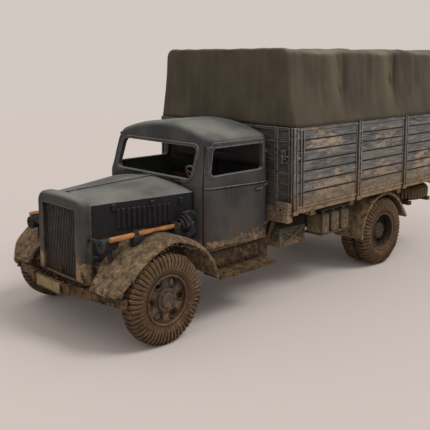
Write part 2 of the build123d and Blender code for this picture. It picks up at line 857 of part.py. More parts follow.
def fender_plan(inset):
    front = fender_front + inset
    outer = fender_outer_x - inset
    with BuildSketch(Plane.XY) as plan:
        with Locations(((fender_inner_x + outer) / 2, (front + fender_rear) / 2)):
            shape = Rectangle(outer - fender_inner_x, fender_rear - front)
        fillet(shape.vertices().sort_by(Axis.X)[-2:].sort_by(Axis.Y)[0], plan_corner_r - inset)
    return plan.sketch


fender_w = fender_outer_x - fender_inner_x
plan_corner_r = 4.0
fender_top_face = fender_region(0)
fender_under_face = fender_region(fender_t, 0)
fender_arch_face = fender_region(fender_lip_h, 0)
with BuildPart() as fender_mass:
    extrude(fender_top_face, amount=fender_w)
    outer_face = fender_mass.faces().sort_by(Axis.X)[-1]
    fillet(outer_face.edges().filter_by(GeomType.CIRCLE), fender_round_r)
with BuildPart() as fender_hollow:
    extrude(fender_under_face, amount=fender_w)
    extrude(fender_plan(fender_t), amount=roof_peak, mode=Mode.INTERSECT)

with BuildPart() as fender:
    add(fender_mass.part)
    extrude(fender_plan(0), amount=roof_peak, mode=Mode.INTERSECT)
    add(fender_hollow.part, mode=Mode.SUBTRACT)
    extrude(fender_arch_face, amount=fender_w, mode=Mode.SUBTRACT)
    block(0, fender_inner_x + fender_t, fender_front, fender_rear, 0, rail_top, mode=Mode.SUBTRACT)
    block(rail_inner_x, fender_inner_x + fender_t, shell_back, front_axle_y, rail_top, bonnet_side_bottom)
    with BuildSketch(Plane.XY.offset(bonnet_side_bottom)):
        with BuildLine():
            Polyline((0, shell_back), (bonnet_front_half_w, shell_back), (bonnet_rear_half_w, cab_front),
                     (bonnet_rear_half_w, cab_rear), (0, cab_rear), close=True)
        make_face()
    extrude(amount=roof_peak, mode=Mode.SUBTRACT)
save_pair(fender, "fender")

# Running boards with the valance up to the cab and a stay to the first bearer
stay_h = 1.1
stay_end = bed_front + 1.6
with BuildPart() as running_board:
    block(valance_x, fender_outer_x, fender_rear, fender_rear + board_l, board_z, board_z + board_t)
    block(valance_x - fender_t, valance_x, fender_rear, cab_rear, board_z, cab_bottom)
    with BuildSketch(Plane.YZ.offset(valance_x - fender_t)):
        with BuildLine():
            Polyline((cab_rear, cab_bottom), (cab_rear, cab_bottom - stay_h), (stay_end, bearer_z),
                     (stay_end - stay_h, bearer_z), close=True)
        make_face()
    extrude(amount=fender_t)
save_pair(running_board, "running_board")

# Headlamps on a bar from the radiator shell and a stalk from the fender
lamp_front = front_axle_y - lamp_ahead
lamp_bar_y = shell_back - 0.45
lamp_bar_z = lamp_z + 0.3
stalk_y = lamp_front + 1.9
slit_h = 0.3
slit_depth = 0.3
slit_half_w = 0.7
lamp_edge = 0.15
lamp_back_r = 0.7
with BuildPart() as headlamp:
    with BuildSketch(Plane.XZ.offset(-lamp_front)):
        with Locations((lamp_x, lamp_z)):
            Circle(lamp_r)
    extrude(amount=-lamp_l)
    chamfer(headlamp.faces().sort_by(Axis.Y)[0].edges(), lamp_edge)
    fillet(headlamp.faces().sort_by(Axis.Y)[-1].edges(), lamp_back_r)
    block(lamp_x - slit_half_w, lamp_x + slit_half_w, lamp_front, lamp_front + slit_depth,
          lamp_z, lamp_z + slit_h, mode=Mode.SUBTRACT)
    with BuildSketch(Plane.YZ.offset(shell_half_w)):
        with Locations((lamp_bar_y, lamp_bar_z)):
            Circle(lamp_stalk_r)
    extrude(amount=lamp_x - shell_half_w)
    with BuildSketch(Plane.XY.offset(lamp_z)):
        with Locations((lamp_x, stalk_y)):
            Circle(lamp_stalk_r)
    extrude(amount=-(lamp_z - rail_top))
    add(fender_mass.part, mode=Mode.SUBTRACT)
save_pair(headlamp, "headlamp")

# Horn on a bracket from the left of the shell
horn_front = shell_front + 0.6
horn_taper = 12
horn_arm_w = 0.6
horn_arm_h = 0.25
horn_arm_y = horn_front + 0.3
with BuildPart() as horn:
    with BuildSketch(Plane.XZ.offset(-horn_front)):
        with Locations((horn_x, horn_z)):
            Circle(horn_r)
    extrude(amount=-horn_l, taper=horn_taper)
    block(shell_half_w, horn_x, horn_arm_y, horn_arm_y + horn_arm_w, horn_z - horn_arm_h, horn_z + horn_arm_h)
save(horn, "horn")

# Shovel on the left and pick on the right, each in two clamps on the fender
handle_front = front_axle_y - handle_ahead
handle_rear = cab_front - blade_clear - blade_l
handle_l = handle_rear - handle_front
clamp_over = 0.35
blade_r = 0.8
with BuildPart() as clamps:
    for back in clamp_backs:
        y = front_axle_y + back
        block(tool_x - clamp_w / 2, tool_x + clamp_w / 2, y - clamp_l / 2, y + clamp_l / 2,
              rail_top, tool_z + handle_r + clamp_over)
    add(fender_mass.part, mode=Mode.SUBTRACT)

with BuildPart() as shovel:
    add(clamps.part)
    with BuildSketch(Plane.XZ.offset(-handle_front)):
        with Locations((tool_x, tool_z)):
            Circle(handle_r)
    extrude(amount=-handle_l)
    block(tool_x - blade_t / 2, tool_x + blade_t / 2, handle_rear, handle_rear + blade_l,
          tool_z - blade_h / 2, tool_z + blade_h / 2)
    fillet(shovel.edges().filter_by(Axis.X).group_by(Axis.Y)[-1], blade_r)
save(shovel, "shovel")

pick_w = 0.7
pick_h = 4.7
pick_eye_h = 0.6
pick_bow = 0.4
with BuildPart() as pick:
    mirror(clamps.part, about=Plane.YZ)
    with BuildSketch(Plane.XZ.offset(-handle_front)):
        with Locations((-tool_x, tool_z)):
            Circle(handle_r)
    extrude(amount=-handle_l)
    with BuildSketch(Plane.YZ.offset(-tool_x - pick_w / 2)):
        with BuildLine():
            Polyline((handle_rear, tool_z + pick_h / 2), (handle_rear - pick_w, tool_z + pick_eye_h),
                     (handle_rear - pick_w, tool_z - pick_eye_h), (handle_rear, tool_z - pick_h / 2),
                     (handle_rear + pick_bow, tool_z - pick_eye_h),
                     (handle_rear + pick_bow, tool_z + pick_eye_h), close=True)
        make_face()
    extrude(amount=pick_w)
save(pick, "pick")

# Bed underframe: two runners on the rails and cross bearers
spare_clear = 0.6
spare_front = spare_y - tyre_r - spare_clear
with BuildPart() as runners:
    block(rail_x - runner_w / 2, rail_x + runner_w / 2, bed_front, spare_front, runner_z, bearer_z)
save(runners, "bed_runner_left")
with BuildPart() as runner_right:
    block(-rail_x - runner_w / 2, -rail_x + runner_w / 2, bed_front, bed_rear, runner_z, bearer_z)
save(runner_right, "bed_runner_right")

bearer_half_w = board_outer_x - 2.8
bearer_places = [bed_front + back for back in bearer_backs]
bearer_places.append(bed_rear - bearer_l / 2)
with BuildPart() as bearers:
    for y in bearer_places:
        block(-bearer_half_w, bearer_half_w, y - bearer_l / 2, y + bearer_l / 2, bearer_z, bed_z)
save(bearers, "bed_bearers")

# Bed floor of grooved boards with its edge sill and two front corner blocks
floor_top = bed_z + sill_h
floor_board_w = 4.1
floor_groove_count = 8
corner_w = 2.8
corner_l = 1.5
corner_h = 2.4
corner_foot_h = 1.4
with BuildPart() as bed_floor:
    block(-board_outer_x, board_outer_x, bed_front, bed_rear, bed_z, floor_top)
    for n in range(floor_groove_count):
        x = (n - (floor_groove_count - 1) / 2) * floor_board_w
        block(x - groove_w / 2, x + groove_w / 2, bed_front, bed_rear, floor_top - groove_d, floor_top,
              mode=Mode.SUBTRACT)
    for side in (-1, 1):
        outer = side * board_outer_x
        inner = side * (board_outer_x - corner_w)
        middle = (outer + inner) / 2
        block(min(outer, inner), max(outer, inner), bed_front - corner_l, bed_front,
              bed_z, bed_z + corner_h)
        block(min(outer, middle), max(outer, middle), bed_front - corner_l, bed_front,
              bed_z - corner_foot_h, bed_z)
save(bed_floor, "bed_floor")

# Board walls: grooved planks, stiles and posts
side_inner_x = board_outer_x - side_t
groove_first = floor_top + lowest_board_h
groove_count = int((side_top - groove_first) / board_h)
groove_heights = [groove_first + n * board_h for n in range(groove_count)]
bay_l = (bed_l - post_w) / (post_count - 1)
bay_shift = 0.9
post_places = [bed_front + post_w / 2, bed_front + post_w / 2 + bay_l + bay_shift,
               bed_rear - post_w / 2 - bay_l - bay_shift, bed_rear - post_w / 2]
with BuildPart() as sideboard:
    block(side_inner_x, board_outer_x, bed_front, bed_rear, floor_top, side_top)
    for z in groove_heights:
        block(board_outer_x - groove_d, bed_half_w, bed_front + post_w, bed_rear - post_w,
              z - groove_w / 2, z + groove_w / 2, mode=Mode.SUBTRACT)
    for y in post_places:
        block(board_outer_x, bed_half_w, y - post_w / 2, y + post_w / 2, bed_z, side_top)
save_pair(sideboard, "sideboard")

rib_pitch = 0.412 * side_inner_x
rib_places = [n * rib_pitch for n in (-2, -1, 0, 1, 2)]
rib_w = 0.8
latch_x = side_inner_x - 1.4
latch_w = 1.1
latch_h = 1.8
latch_z = side_top - 6.2


def end_board(face_y, outward):
    inner_y = face_y - outward * side_t
    proud_y = face_y + outward * post_t
    with BuildPart() as board:
        block(-side_inner_x, side_inner_x, min(face_y, inner_y), max(face_y, inner_y), floor_top, side_top)
        for z in groove_heights:
            block(-side_inner_x, side_inner_x, face_y - groove_d, face_y + groove_d,
                  z - groove_w / 2, z + groove_w / 2, mode=Mode.SUBTRACT)
        for x in rib_places:
            block(x - rib_w / 2, x + rib_w / 2, min(face_y, proud_y), max(face_y, proud_y), bed_z, side_top)
        for x in (-latch_x, latch_x):
            block(x - latch_w / 2, x + latch_w / 2, min(face_y, proud_y), max(face_y, proud_y),
                  latch_z, latch_z + latch_h)
    return board


save(end_board(bed_front, -1), "headboard")
save(end_board(bed_rear, 1), "tailgate")


# Canvas tilt moulded as a shell, sagging between its hoops, open at the rear
def tilt_profile(y, inset, rise):
    with BuildSketch(Plane.XZ.offset(-y)) as profile:
        with BuildLine():
            Polyline((-bed_half_w + inset, side_top - rise), (bed_half_w - inset, side_top - rise),
                     (tilt_top_half_w - inset, tilt_top - inset),
                     (-tilt_top_half_w + inset, tilt_top - inset), close=True)
        outline = make_face()
        fillet(outline.vertices().group_by(Axis.Y)[-1], tilt_shoulder_r - 0.5 * inset)
    return profile.sketch


hoop_bay = bed_l / tilt_bay_count
sag_r = (hoop_bay ** 2 / 4 + tilt_sag ** 2) / (2 * tilt_sag)
sag_centre_z = tilt_top - tilt_sag + sag_r
tilt_inner_drop = 1.2
with BuildPart() as tilt:
    extrude(tilt_profile(bed_front, 0, 0), amount=-bed_l)
    with BuildSketch(Plane.YZ.offset(-bed_half_w)):
        with Locations(*[(bed_front + (n + 0.5) * hoop_bay, sag_centre_z) for n in range(tilt_bay_count)]):
            Circle(sag_r)
    extrude(amount=2 * bed_half_w, mode=Mode.SUBTRACT)
    extrude(tilt_profile(bed_front + tilt_wall, tilt_inner_drop, 1), amount=-(bed_l - 2 * tilt_wall),
            mode=Mode.SUBTRACT)
    extrude(tilt_profile(bed_rear - 2 * tilt_wall, tilt_rear_rim + tilt_wall, 1), amount=-4 * tilt_wall,
            mode=Mode.SUBTRACT)
save(tilt, "tilt")

# Rear mudguards: an arc over the twins with a flared tail, packed up to the bed
front_angle = radians(mudguard_front_angle)
tail_angle = radians(mudguard_rear_angle)
guard_angles = (front_angle, (front_angle + tail_angle) / 2, tail_angle)
tail_run = Vector(mudguard_tail_l * sin(tail_angle), -mudguard_tail_l * cos(tail_angle))
packer_l = 2.4
packer_inset = 1.0


def guard_arc(radius):
    return [Vector(rear_axle_y + radius * cos(a), axle_z + radius * sin(a)) for a in guard_angles]


outer_arc = guard_arc(mudguard_r + mudguard_t)
inner_arc = guard_arc(mudguard_r)
with BuildPart() as mudguard:
    with BuildSketch(Plane.YZ.offset(mudguard_inner_x)):
        with BuildLine():
            ThreePointArc(*outer_arc)
            Polyline(outer_arc[2], outer_arc[2] + tail_run, inner_arc[2] + tail_run, inner_arc[2])
            ThreePointArc(*reversed(inner_arc))
            Line(inner_arc[0], outer_arc[0])
        make_face()
    extrude(amount=mudguard_outer_x - mudguard_inner_x)
    block(mudguard_inner_x + packer_inset, mudguard_outer_x - packer_inset,
          rear_axle_y - packer_l / 2, rear_axle_y + packer_l / 2, axle_z + mudguard_r + mudguard_t / 2, bed_z)
save_pair(mudguard, "rear_mudguard")

# Spare wheel flat under the bed on two arms from the left rail
arm_l = 1.2
arm_h = 0.9
arm_reach = 17.0
arm_spacing = 4.4
stud_r = 0.45
stud_h = 1.2
arm_tie_w = 1.6
spare_z = rail_top + tyre_w / 2 + running_fit
loose_tyre = tyre_at(0, 0)
lying_flat = Location((spare_x, spare_y, spare_z), (0, -90, 0))
with BuildPart() as spare_tyre:
    add(loose_tyre.part.moved(Location((0, 0, -axle_z))).moved(lying_flat))
save(spare_tyre, "spare_tyre")
with BuildPart() as spare_disc:
    add(front_disc.part.moved(lying_flat))
save(spare_disc, "spare_wheel_disc")
with BuildPart() as spare_carrier:
    for side in (-1, 1):
        y = spare_y + side * arm_spacing
        block(rail_outer_x, arm_reach, y - arm_l / 2, y + arm_l / 2, rail_top - arm_h, rail_top)
    block(spare_x - arm_tie_w / 2, spare_x + arm_tie_w / 2, spare_y - arm_spacing, spare_y + arm_spacing,
          rail_top - arm_h, rail_top)
    with BuildSketch(Plane.XY.offset(rail_top - arm_h)):
        with Locations((spare_x, spare_y)):
            Circle(stud_r)
    extrude(amount=arm_h + stud_h)
save(spare_carrier, "spare_carrier")

# Stowage box on the left rail with crossed pressed ribs
box_outer_x = bed_half_w - box_inset
box_y = front_axle_y + box_back
box_top = rail_top + 0.2
box_rib = 0.25
box_rib_w = 0.35
box_rib_l = hypot(box_l, box_h) - 1.6
box_foot_w = 1.0
box_foot_inset = 1.5
box_foot_low = rail_bottom + 0.5
box_foot_high = rail_top - 0.4
box_angle = degrees(atan2(box_h, box_l))
with BuildPart() as stowage_box:
    block(box_outer_x - box_w, box_outer_x - box_rib, box_y, box_y + box_l, box_top - box_h, box_top)
    with BuildSketch(Plane.YZ.offset(box_outer_x - box_rib)):
        with Locations((box_y + box_l / 2, box_top - box_h / 2)):
            Rectangle(box_rib_l, box_rib_w, rotation=box_angle)
            Rectangle(box_rib_l, box_rib_w, rotation=-box_angle)
    extrude(amount=box_rib)
    for y in (box_y + box_foot_inset, box_y + box_l - box_foot_inset):
        block(rail_outer_x, box_outer_x - box_w, y - box_foot_w / 2, y + box_foot_w / 2,
              box_foot_low, box_foot_high)
save(stowage_box, "stowage_box")

# Rack of three cans hung from the bed
can_edge_r = 0.5
cap_h = 0.7
cap_inset = 0.2
rack_t = 0.5
rack_bottom = can_bottom + 1.0
can_top = can_bottom + can_h
can_x = bed_half_w - can_inset
can_inner_x = can_x - can_w / 2
can_outer_x = can_x + can_w / 2
rack_front = front_axle_y + can_backs[0]
rack_rear = front_axle_y + can_backs[-1] + can_l
with BuildPart() as cans:
    for back in can_backs:
        y = front_axle_y + back
        block(can_inner_x, can_outer_x, y, y + can_l, can_bottom, can_top - cap_h)
    fillet(cans.edges().filter_by(Axis.Z), can_edge_r)
    for back in can_backs:
        y = front_axle_y + back
        block(can_inner_x, can_outer_x, y + cap_inset, y + can_l - cap_inset, can_top - cap_h, can_top)
    block(can_inner_x - rack_t, can_inner_x, rack_front, rack_rear, rack_bottom, bed_z)
    block(can_inner_x, can_outer_x, rack_front, rack_rear, can_top, can_top + rack_t)
save(cans, "fuel_cans")

# Towing jaw on the rear crossmember
jaw_w = 3.0
jaw_l = 3.4
jaw_t = 1.2
pin_bore_r = 0.6
pin_ahead = 1.4
jaw_z = rail_bottom + rail_wall
last_member = crossmember_places[-1] + crossmember_l
with BuildPart() as tow_jaw:
    block(-jaw_w / 2, jaw_w / 2, last_member, bed_rear + jaw_l, jaw_z, jaw_z + jaw_t)
    with BuildSketch(Plane.XY.offset(jaw_z)):
        with Locations((0, bed_rear + jaw_l - pin_ahead)):
            Circle(pin_bore_r)
    extrude(amount=jaw_t, mode=Mode.SUBTRACT)
save(tow_jaw, "tow_jaw")
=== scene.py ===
import bpy
import bmesh
import json
import math
import random
from mathutils import Matrix, Quaternion, Vector, noise


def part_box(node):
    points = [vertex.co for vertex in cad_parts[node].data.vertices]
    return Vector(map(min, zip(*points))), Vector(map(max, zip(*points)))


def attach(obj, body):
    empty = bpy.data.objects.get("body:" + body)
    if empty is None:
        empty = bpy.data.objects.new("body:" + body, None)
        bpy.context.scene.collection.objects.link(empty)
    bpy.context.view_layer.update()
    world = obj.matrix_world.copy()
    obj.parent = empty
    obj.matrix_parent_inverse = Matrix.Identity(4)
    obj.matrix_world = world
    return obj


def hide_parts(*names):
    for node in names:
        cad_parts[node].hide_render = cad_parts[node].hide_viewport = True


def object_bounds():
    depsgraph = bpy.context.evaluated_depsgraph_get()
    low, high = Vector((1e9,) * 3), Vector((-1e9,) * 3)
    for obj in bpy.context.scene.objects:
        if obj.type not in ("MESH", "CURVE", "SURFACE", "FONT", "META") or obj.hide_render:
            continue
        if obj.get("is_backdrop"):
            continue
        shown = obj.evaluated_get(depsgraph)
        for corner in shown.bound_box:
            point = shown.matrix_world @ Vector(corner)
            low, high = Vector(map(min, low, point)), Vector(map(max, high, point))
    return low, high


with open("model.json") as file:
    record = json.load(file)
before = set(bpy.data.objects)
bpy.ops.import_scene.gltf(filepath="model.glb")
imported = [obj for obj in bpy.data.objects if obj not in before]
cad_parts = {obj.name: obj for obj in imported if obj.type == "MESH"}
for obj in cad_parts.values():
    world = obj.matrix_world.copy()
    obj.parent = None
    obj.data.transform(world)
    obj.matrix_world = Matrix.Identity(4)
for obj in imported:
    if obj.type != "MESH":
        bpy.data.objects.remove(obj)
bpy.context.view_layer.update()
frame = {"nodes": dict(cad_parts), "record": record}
nodes = frame["nodes"]
mm = 0.001


def toLinear(hexColour):
    # sRGB hex to the linear values that sockets take
    parts = [int(hexColour[i:i + 2], 16) / 255 for i in (1, 3, 5)]
    return tuple(c / 12.92 if c <= 0.04045 else ((c + 0.055) / 1.055) ** 2.4 for c in parts) + (1.0,)


def addNode(tree, kind, inputs=None, **settings):
    # a node with its settings, values and links; a node given as an input is linked from its first live output
    node = tree.nodes.new(kind)
    for name, value in settings.items():
        setattr(node, name, value)
    for socket, value in (inputs or {}).items():
        if isinstance(value, bpy.types.Node):
            value = next(output for output in value.outputs if output.enabled)
        if isinstance(value, bpy.types.NodeSocket):
            tree.links.new(value, node.inputs[socket])
        else:
            node.inputs[socket].default_value = value
    return node


# Painted finishes: brush paint on moulded plastic, matt, with worn edges, dark wash in the corners and dried mud
# Sizes are millimetres on the model, colours are sRGB
plainLook = {
    "base": "#343235", "drift": "#42403d", "driftMm": 7.0,
    "streak": "#4d4c4e", "streakMm": 0.5, "streakRun": 9.0, "streakAmount": 0.3, "streakAxis": 2,
    "wash": "#100e0d", "washAmount": 0.85, "washMm": 1.1,
    "edge": "#8f8e8b", "edgeAmount": 0.9, "edgeMm": 0.26,
    "chip": "#9c8870", "chipMm": 2.2, "chipAmount": 0.0, "chipStretch": (1, 1, 1), "scuffs": (),
    "mud": "#a08665", "mudDark": "#5a4532", "mudMm": 1.1, "mudTopMm": 14.3, "mudFadeMm": 5.2, "mudAmount": 0.85,
    "filmAmount": 0.5,
    # dust on what faces up: partly real dust, partly painted light on the tops
    "dust": "#87877f", "dustAmount": 0.8, "dustMm": 9.0,
    "roughness": 0.82, "specular": 0.25, "grainHeight": 0.02,
    # raised and the colour after it: painted highlight on high folds and painted shade in their hollows
    "planks": None, "raised": None, "sunk": None,
}


def paintedFinish(name, **changes):
    look = dict(plainLook, **changes)
    finish = bpy.data.materials.new(name)
    finish.use_nodes = True
    tree = finish.node_tree
    tree.nodes.clear()
    place = addNode(tree, "ShaderNodeTexCoord").outputs["Object"]
    facing = addNode(tree, "ShaderNodeNewGeometry").outputs["Normal"]
    heights = addNode(tree, "ShaderNodeSeparateXYZ", {0: place}).outputs
    tilts = addNode(tree, "ShaderNodeSeparateXYZ", {0: facing}).outputs

    # two tones of the paint in soft clouds
    clouds = addNode(tree, "ShaderNodeTexNoise", {"Vector": place, "Scale": 1000 / look["driftMm"], "Detail": 2.0})
    clouds = addNode(tree, "ShaderNodeMapRange", {0: clouds, 1: 0.38, 2: 0.62}, interpolation_type="SMOOTHSTEP")
    colour = addNode(tree, "ShaderNodeMix", {0: clouds, 6: toLinear(look["base"]), 7: toLinear(look["drift"])},
                     data_type="RGBA")

    if look["planks"]:
        # each plank of each bay has its own tone
        first, pitch, front, bay, tone = look["planks"]
        row = addNode(tree, "ShaderNodeMath", {0: heights["Z"], 1: first * mm}, operation="SUBTRACT")
        row = addNode(tree, "ShaderNodeMath", {0: row, 1: pitch * mm}, operation="DIVIDE")
        row = addNode(tree, "ShaderNodeMath", {0: row}, operation="FLOOR")
        run = addNode(tree, "ShaderNodeMath", {0: heights["Y"], 1: front * mm}, operation="SUBTRACT")
        run = addNode(tree, "ShaderNodeMath", {0: run, 1: bay * mm}, operation="DIVIDE")
        run = addNode(tree, "ShaderNodeMath", {0: run}, operation="FLOOR")
        cell = addNode(tree, "ShaderNodeCombineXYZ", {0: row, 1: run})
        toss = addNode(tree, "ShaderNodeTexWhiteNoise", {"Vector": cell})
        toss = addNode(tree, "ShaderNodeMapRange", {0: toss, 1: 0.15, 2: 1.0, 4: 0.75})
        colour = addNode(tree, "ShaderNodeMix", {0: toss, 6: colour, 7: toLinear(tone)}, data_type="RGBA")

    if look["raised"]:
        # painted highlight on the high folds and painted shade in the hollows, by how far each point stands out
        standing = addNode(tree, "ShaderNodeAttribute", attribute_name="relief").outputs["Fac"]
        high = addNode(tree, "ShaderNodeMapRange", {0: standing, 1: 0.05, 2: 0.9})
        colour = addNode(tree, "ShaderNodeMix", {0: high, 6: colour, 7: toLinear(look["raised"])}, data_type="RGBA")
        deep = addNode(tree, "ShaderNodeMapRange", {0: standing, 1: -0.05, 2: -0.4, 4: 0.9})
        colour = addNode(tree, "ShaderNodeMix", {0: deep, 6: colour, 7: toLinear(look["sunk"])}, data_type="RGBA")

    # brush strokes, long along one axis
    stretch = [1.0, 1.0, 1.0]
    stretch[look["streakAxis"]] = 1 / look["streakRun"]
    drawn = addNode(tree, "ShaderNodeMapping", {"Vector": place, "Location": (0.3, 0.2, 0.4), "Scale": stretch})
    strokes = addNode(tree, "ShaderNodeTexNoise", {"Vector": drawn, "Scale": 1000 / look["streakMm"], "Detail": 3.0,
                                                   "Roughness": 0.6})
    stroked = addNode(tree, "ShaderNodeMapRange", {0: strokes, 1: 0.42, 2: 0.7, 4: look["streakAmount"]})
    colour = addNode(tree, "ShaderNodeMix", {0: stroked, 6: colour, 7: toLinear(look["streak"])}, data_type="RGBA")

    # paint scuffed to the colour below it, most of all round the listed places; on the front wheel discs the same
    # marks are black painted shade round the hand holes
    if look["chipAmount"] > 0:
        moved = addNode(tree, "ShaderNodeMapping", {"Vector": place, "Location": (0.9, 0.6, 1.1),
                                                    "Scale": look["chipStretch"]})
        flakes = addNode(tree, "ShaderNodeTexNoise", {"Vector": moved, "Scale": 1000 / look["chipMm"], "Detail": 9.0,
                                                      "Roughness": 0.8})
        for y, z, halfLong, halfTall, strength in look["scuffs"]:
            local = addNode(tree, "ShaderNodeMapping", {"Vector": place,
                                                        "Location": (0, -y / halfLong, -z / halfTall),
                                                        "Scale": (0, 1000 / halfLong, 1000 / halfTall)})
            away = addNode(tree, "ShaderNodeVectorMath", {0: local}, operation="LENGTH")
            near = addNode(tree, "ShaderNodeMapRange", {0: away, 1: 1.0, 2: 0.2, 4: strength})
            flakes = addNode(tree, "ShaderNodeMath", {0: flakes, 1: near}, operation="ADD")
        cut = 0.72 - 0.3 * look["chipAmount"]
        bare = addNode(tree, "ShaderNodeMapRange", {0: flakes, 1: cut, 2: cut + 0.06, 4: 0.85})
        colour = addNode(tree, "ShaderNodeMix", {0: bare, 6: colour, 7: toLinear(look["chip"])}, data_type="RGBA")

    # thin dark paint that settled in the corners
    openness = addNode(tree, "ShaderNodeAmbientOcclusion", {"Distance": look["washMm"] * mm}, samples=6)
    settled = addNode(tree, "ShaderNodeMapRange", {0: openness, 1: 0.95, 2: 0.45, 4: look["washAmount"]})
    colour = addNode(tree, "ShaderNodeMix", {0: settled, 6: colour, 7: toLinear(look["wash"])}, data_type="RGBA")

    # dust brushed on what faces up, which also serves as painted light on the tops
    dusting = addNode(tree, "ShaderNodeMapRange", {0: tilts["Z"], 1: 0.3, 2: 0.97, 4: look["dustAmount"]},
                      interpolation_type="SMOOTHSTEP")
    cover = addNode(tree, "ShaderNodeTexNoise", {"Vector": place, "Scale": 1000 / look["dustMm"], "Detail": 4.0})
    cover = addNode(tree, "ShaderNodeMapRange", {0: cover, 1: 0.15, 2: 0.6})
    dusting = addNode(tree, "ShaderNodeMath", {0: dusting, 1: cover}, operation="MULTIPLY")
    colour = addNode(tree, "ShaderNodeMix", {0: dusting, 6: colour, 7: toLinear(look["dust"])}, data_type="RGBA")

    # light paint dragged over the edges, broken every 0.7 mm or so
    rounded = addNode(tree, "ShaderNodeBevel", {"Radius": look["edgeMm"] * mm}, samples=6)
    along = addNode(tree, "ShaderNodeVectorMath", {0: rounded, 1: facing}, operation="DOT_PRODUCT")
    sharp = addNode(tree, "ShaderNodeMapRange", {0: along, 1: 0.985, 2: 0.85, 4: look["edgeAmount"]})
    broken = addNode(tree, "ShaderNodeTexNoise", {"Vector": place, "Scale": 1400.0, "Detail": 4.0})
    broken = addNode(tree, "ShaderNodeMapRange", {0: broken, 1: 0.25, 2: 0.55})
    outward = addNode(tree, "ShaderNodeMapRange", {0: openness, 1: 0.45, 2: 0.8})
    worn = addNode(tree, "ShaderNodeMath", {0: sharp, 1: broken}, operation="MULTIPLY")
    worn = addNode(tree, "ShaderNodeMath", {0: worn, 1: outward}, operation="MULTIPLY")
    colour = addNode(tree, "ShaderNodeMix", {0: worn, 6: colour, 7: toLinear(look["edge"])}, data_type="RGBA")

    # brown road film that ran down above the mud
    top, fade = look["mudTopMm"] * mm, look["mudFadeMm"] * mm
    film = addNode(tree, "ShaderNodeMapRange", {0: heights["Z"], 1: top + 1.5 * fade, 2: top - 0.2 * fade,
                                                4: look["filmAmount"]})
    runs = addNode(tree, "ShaderNodeTexNoise", {"Vector": drawn, "Scale": 420.0, "Detail": 5.0, "Roughness": 0.65})
    runs = addNode(tree, "ShaderNodeMapRange", {0: runs, 1: 0.38, 2: 0.56})
    film = addNode(tree, "ShaderNodeMath", {0: film, 1: runs}, operation="MULTIPLY")
    colour = addNode(tree, "ShaderNodeMix", {0: film, 6: colour, 7: toLinear(look["mudDark"])}, data_type="RGBA")

    # dried mud, thick near the ground and splashed thinner further up
    low = addNode(tree, "ShaderNodeMapRange", {0: heights["Z"], 1: top + fade, 2: top - fade, 3: -0.45, 4: 0.45})
    splash = addNode(tree, "ShaderNodeTexNoise", {"Vector": place, "Scale": 1000 / look["mudMm"], "Detail": 9.0,
                                                  "Roughness": 0.72})
    muddy = addNode(tree, "ShaderNodeMath", {0: splash, 1: low}, operation="ADD")
    muddy = addNode(tree, "ShaderNodeMapRange", {0: muddy, 1: 0.5, 2: 0.6, 4: look["mudAmount"]})
    tones = addNode(tree, "ShaderNodeTexNoise", {"Vector": place, "Scale": 850.0, "Detail": 9.0, "Roughness": 0.82})
    tones = addNode(tree, "ShaderNodeMapRange", {0: tones, 1: 0.39, 2: 0.6})
    mudTone = addNode(tree, "ShaderNodeMix", {0: tones, 6: toLinear(look["mudDark"]), 7: toLinear(look["mud"])},
                      data_type="RGBA")
    mudTone = addNode(tree, "ShaderNodeMix", {0: settled, 6: mudTone, 7: toLinear(look["wash"])}, data_type="RGBA")
    colour = addNode(tree, "ShaderNodeMix", {0: muddy, 6: colour, 7: mudTone}, data_type="RGBA")

    # brush marks and the mud's crust in the surface
    crust = addNode(tree, "ShaderNodeMath", {0: tones, 1: muddy}, operation="MULTIPLY")
    crust = addNode(tree, "ShaderNodeMath", {0: crust, 1: 3.0, 2: strokes}, operation="MULTIPLY_ADD")
    depth = look["grainHeight"] * 2 * mm
    relief = addNode(tree, "ShaderNodeBump", {"Height": crust, "Strength": 0.8, "Distance": depth, "Normal": rounded})
    shader = addNode(tree, "ShaderNodeBsdfPrincipled", {"Base Color": colour, "Roughness": look["roughness"],
                                                        "Specular IOR Level": look["specular"], "Normal": relief})
    addNode(tree, "ShaderNodeOutputMaterial", {"Surface": shader})
    return finish


def corners(name):
    low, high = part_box(name)
    return Vector(low) / mm, Vector(high) / mm


frontAxleY = sum(v.y for v in corners("front_tyre_left")) / 2  # lengths below count back from the front axle
axleZ = sum(v.z for v in corners("front_tyre_left")) / 2
holeRingMm = 3.15  # radius of the ring of hand holes in a wheel disc
discHoles = [(holeRingMm * math.cos(turn), holeRingMm * math.sin(turn))
             for turn in (math.radians(60 * n) for n in range(6))]
boardLook = {
    "base": "#3f4148", "drift": "#55555a", "driftMm": 4.0, "streak": "#8d8981", "streakMm": 0.3, "streakRun": 13.0,
    "streakAmount": 0.8, "streakAxis": 1, "chip": "#a8937a", "chipAmount": 0.4, "chipMm": 1.6,
    "chipStretch": (1, 0.45, 1.3), "edge": "#b0a492", "edgeAmount": 1.0, "mudTopMm": 20.4, "mudFadeMm": 6.5,
    "mud": "#a68d6c", "mudDark": "#65513c", "mudAmount": 0.8, "washMm": 1.0, "washAmount": 1.0,
    "dustAmount": 0.4,
}
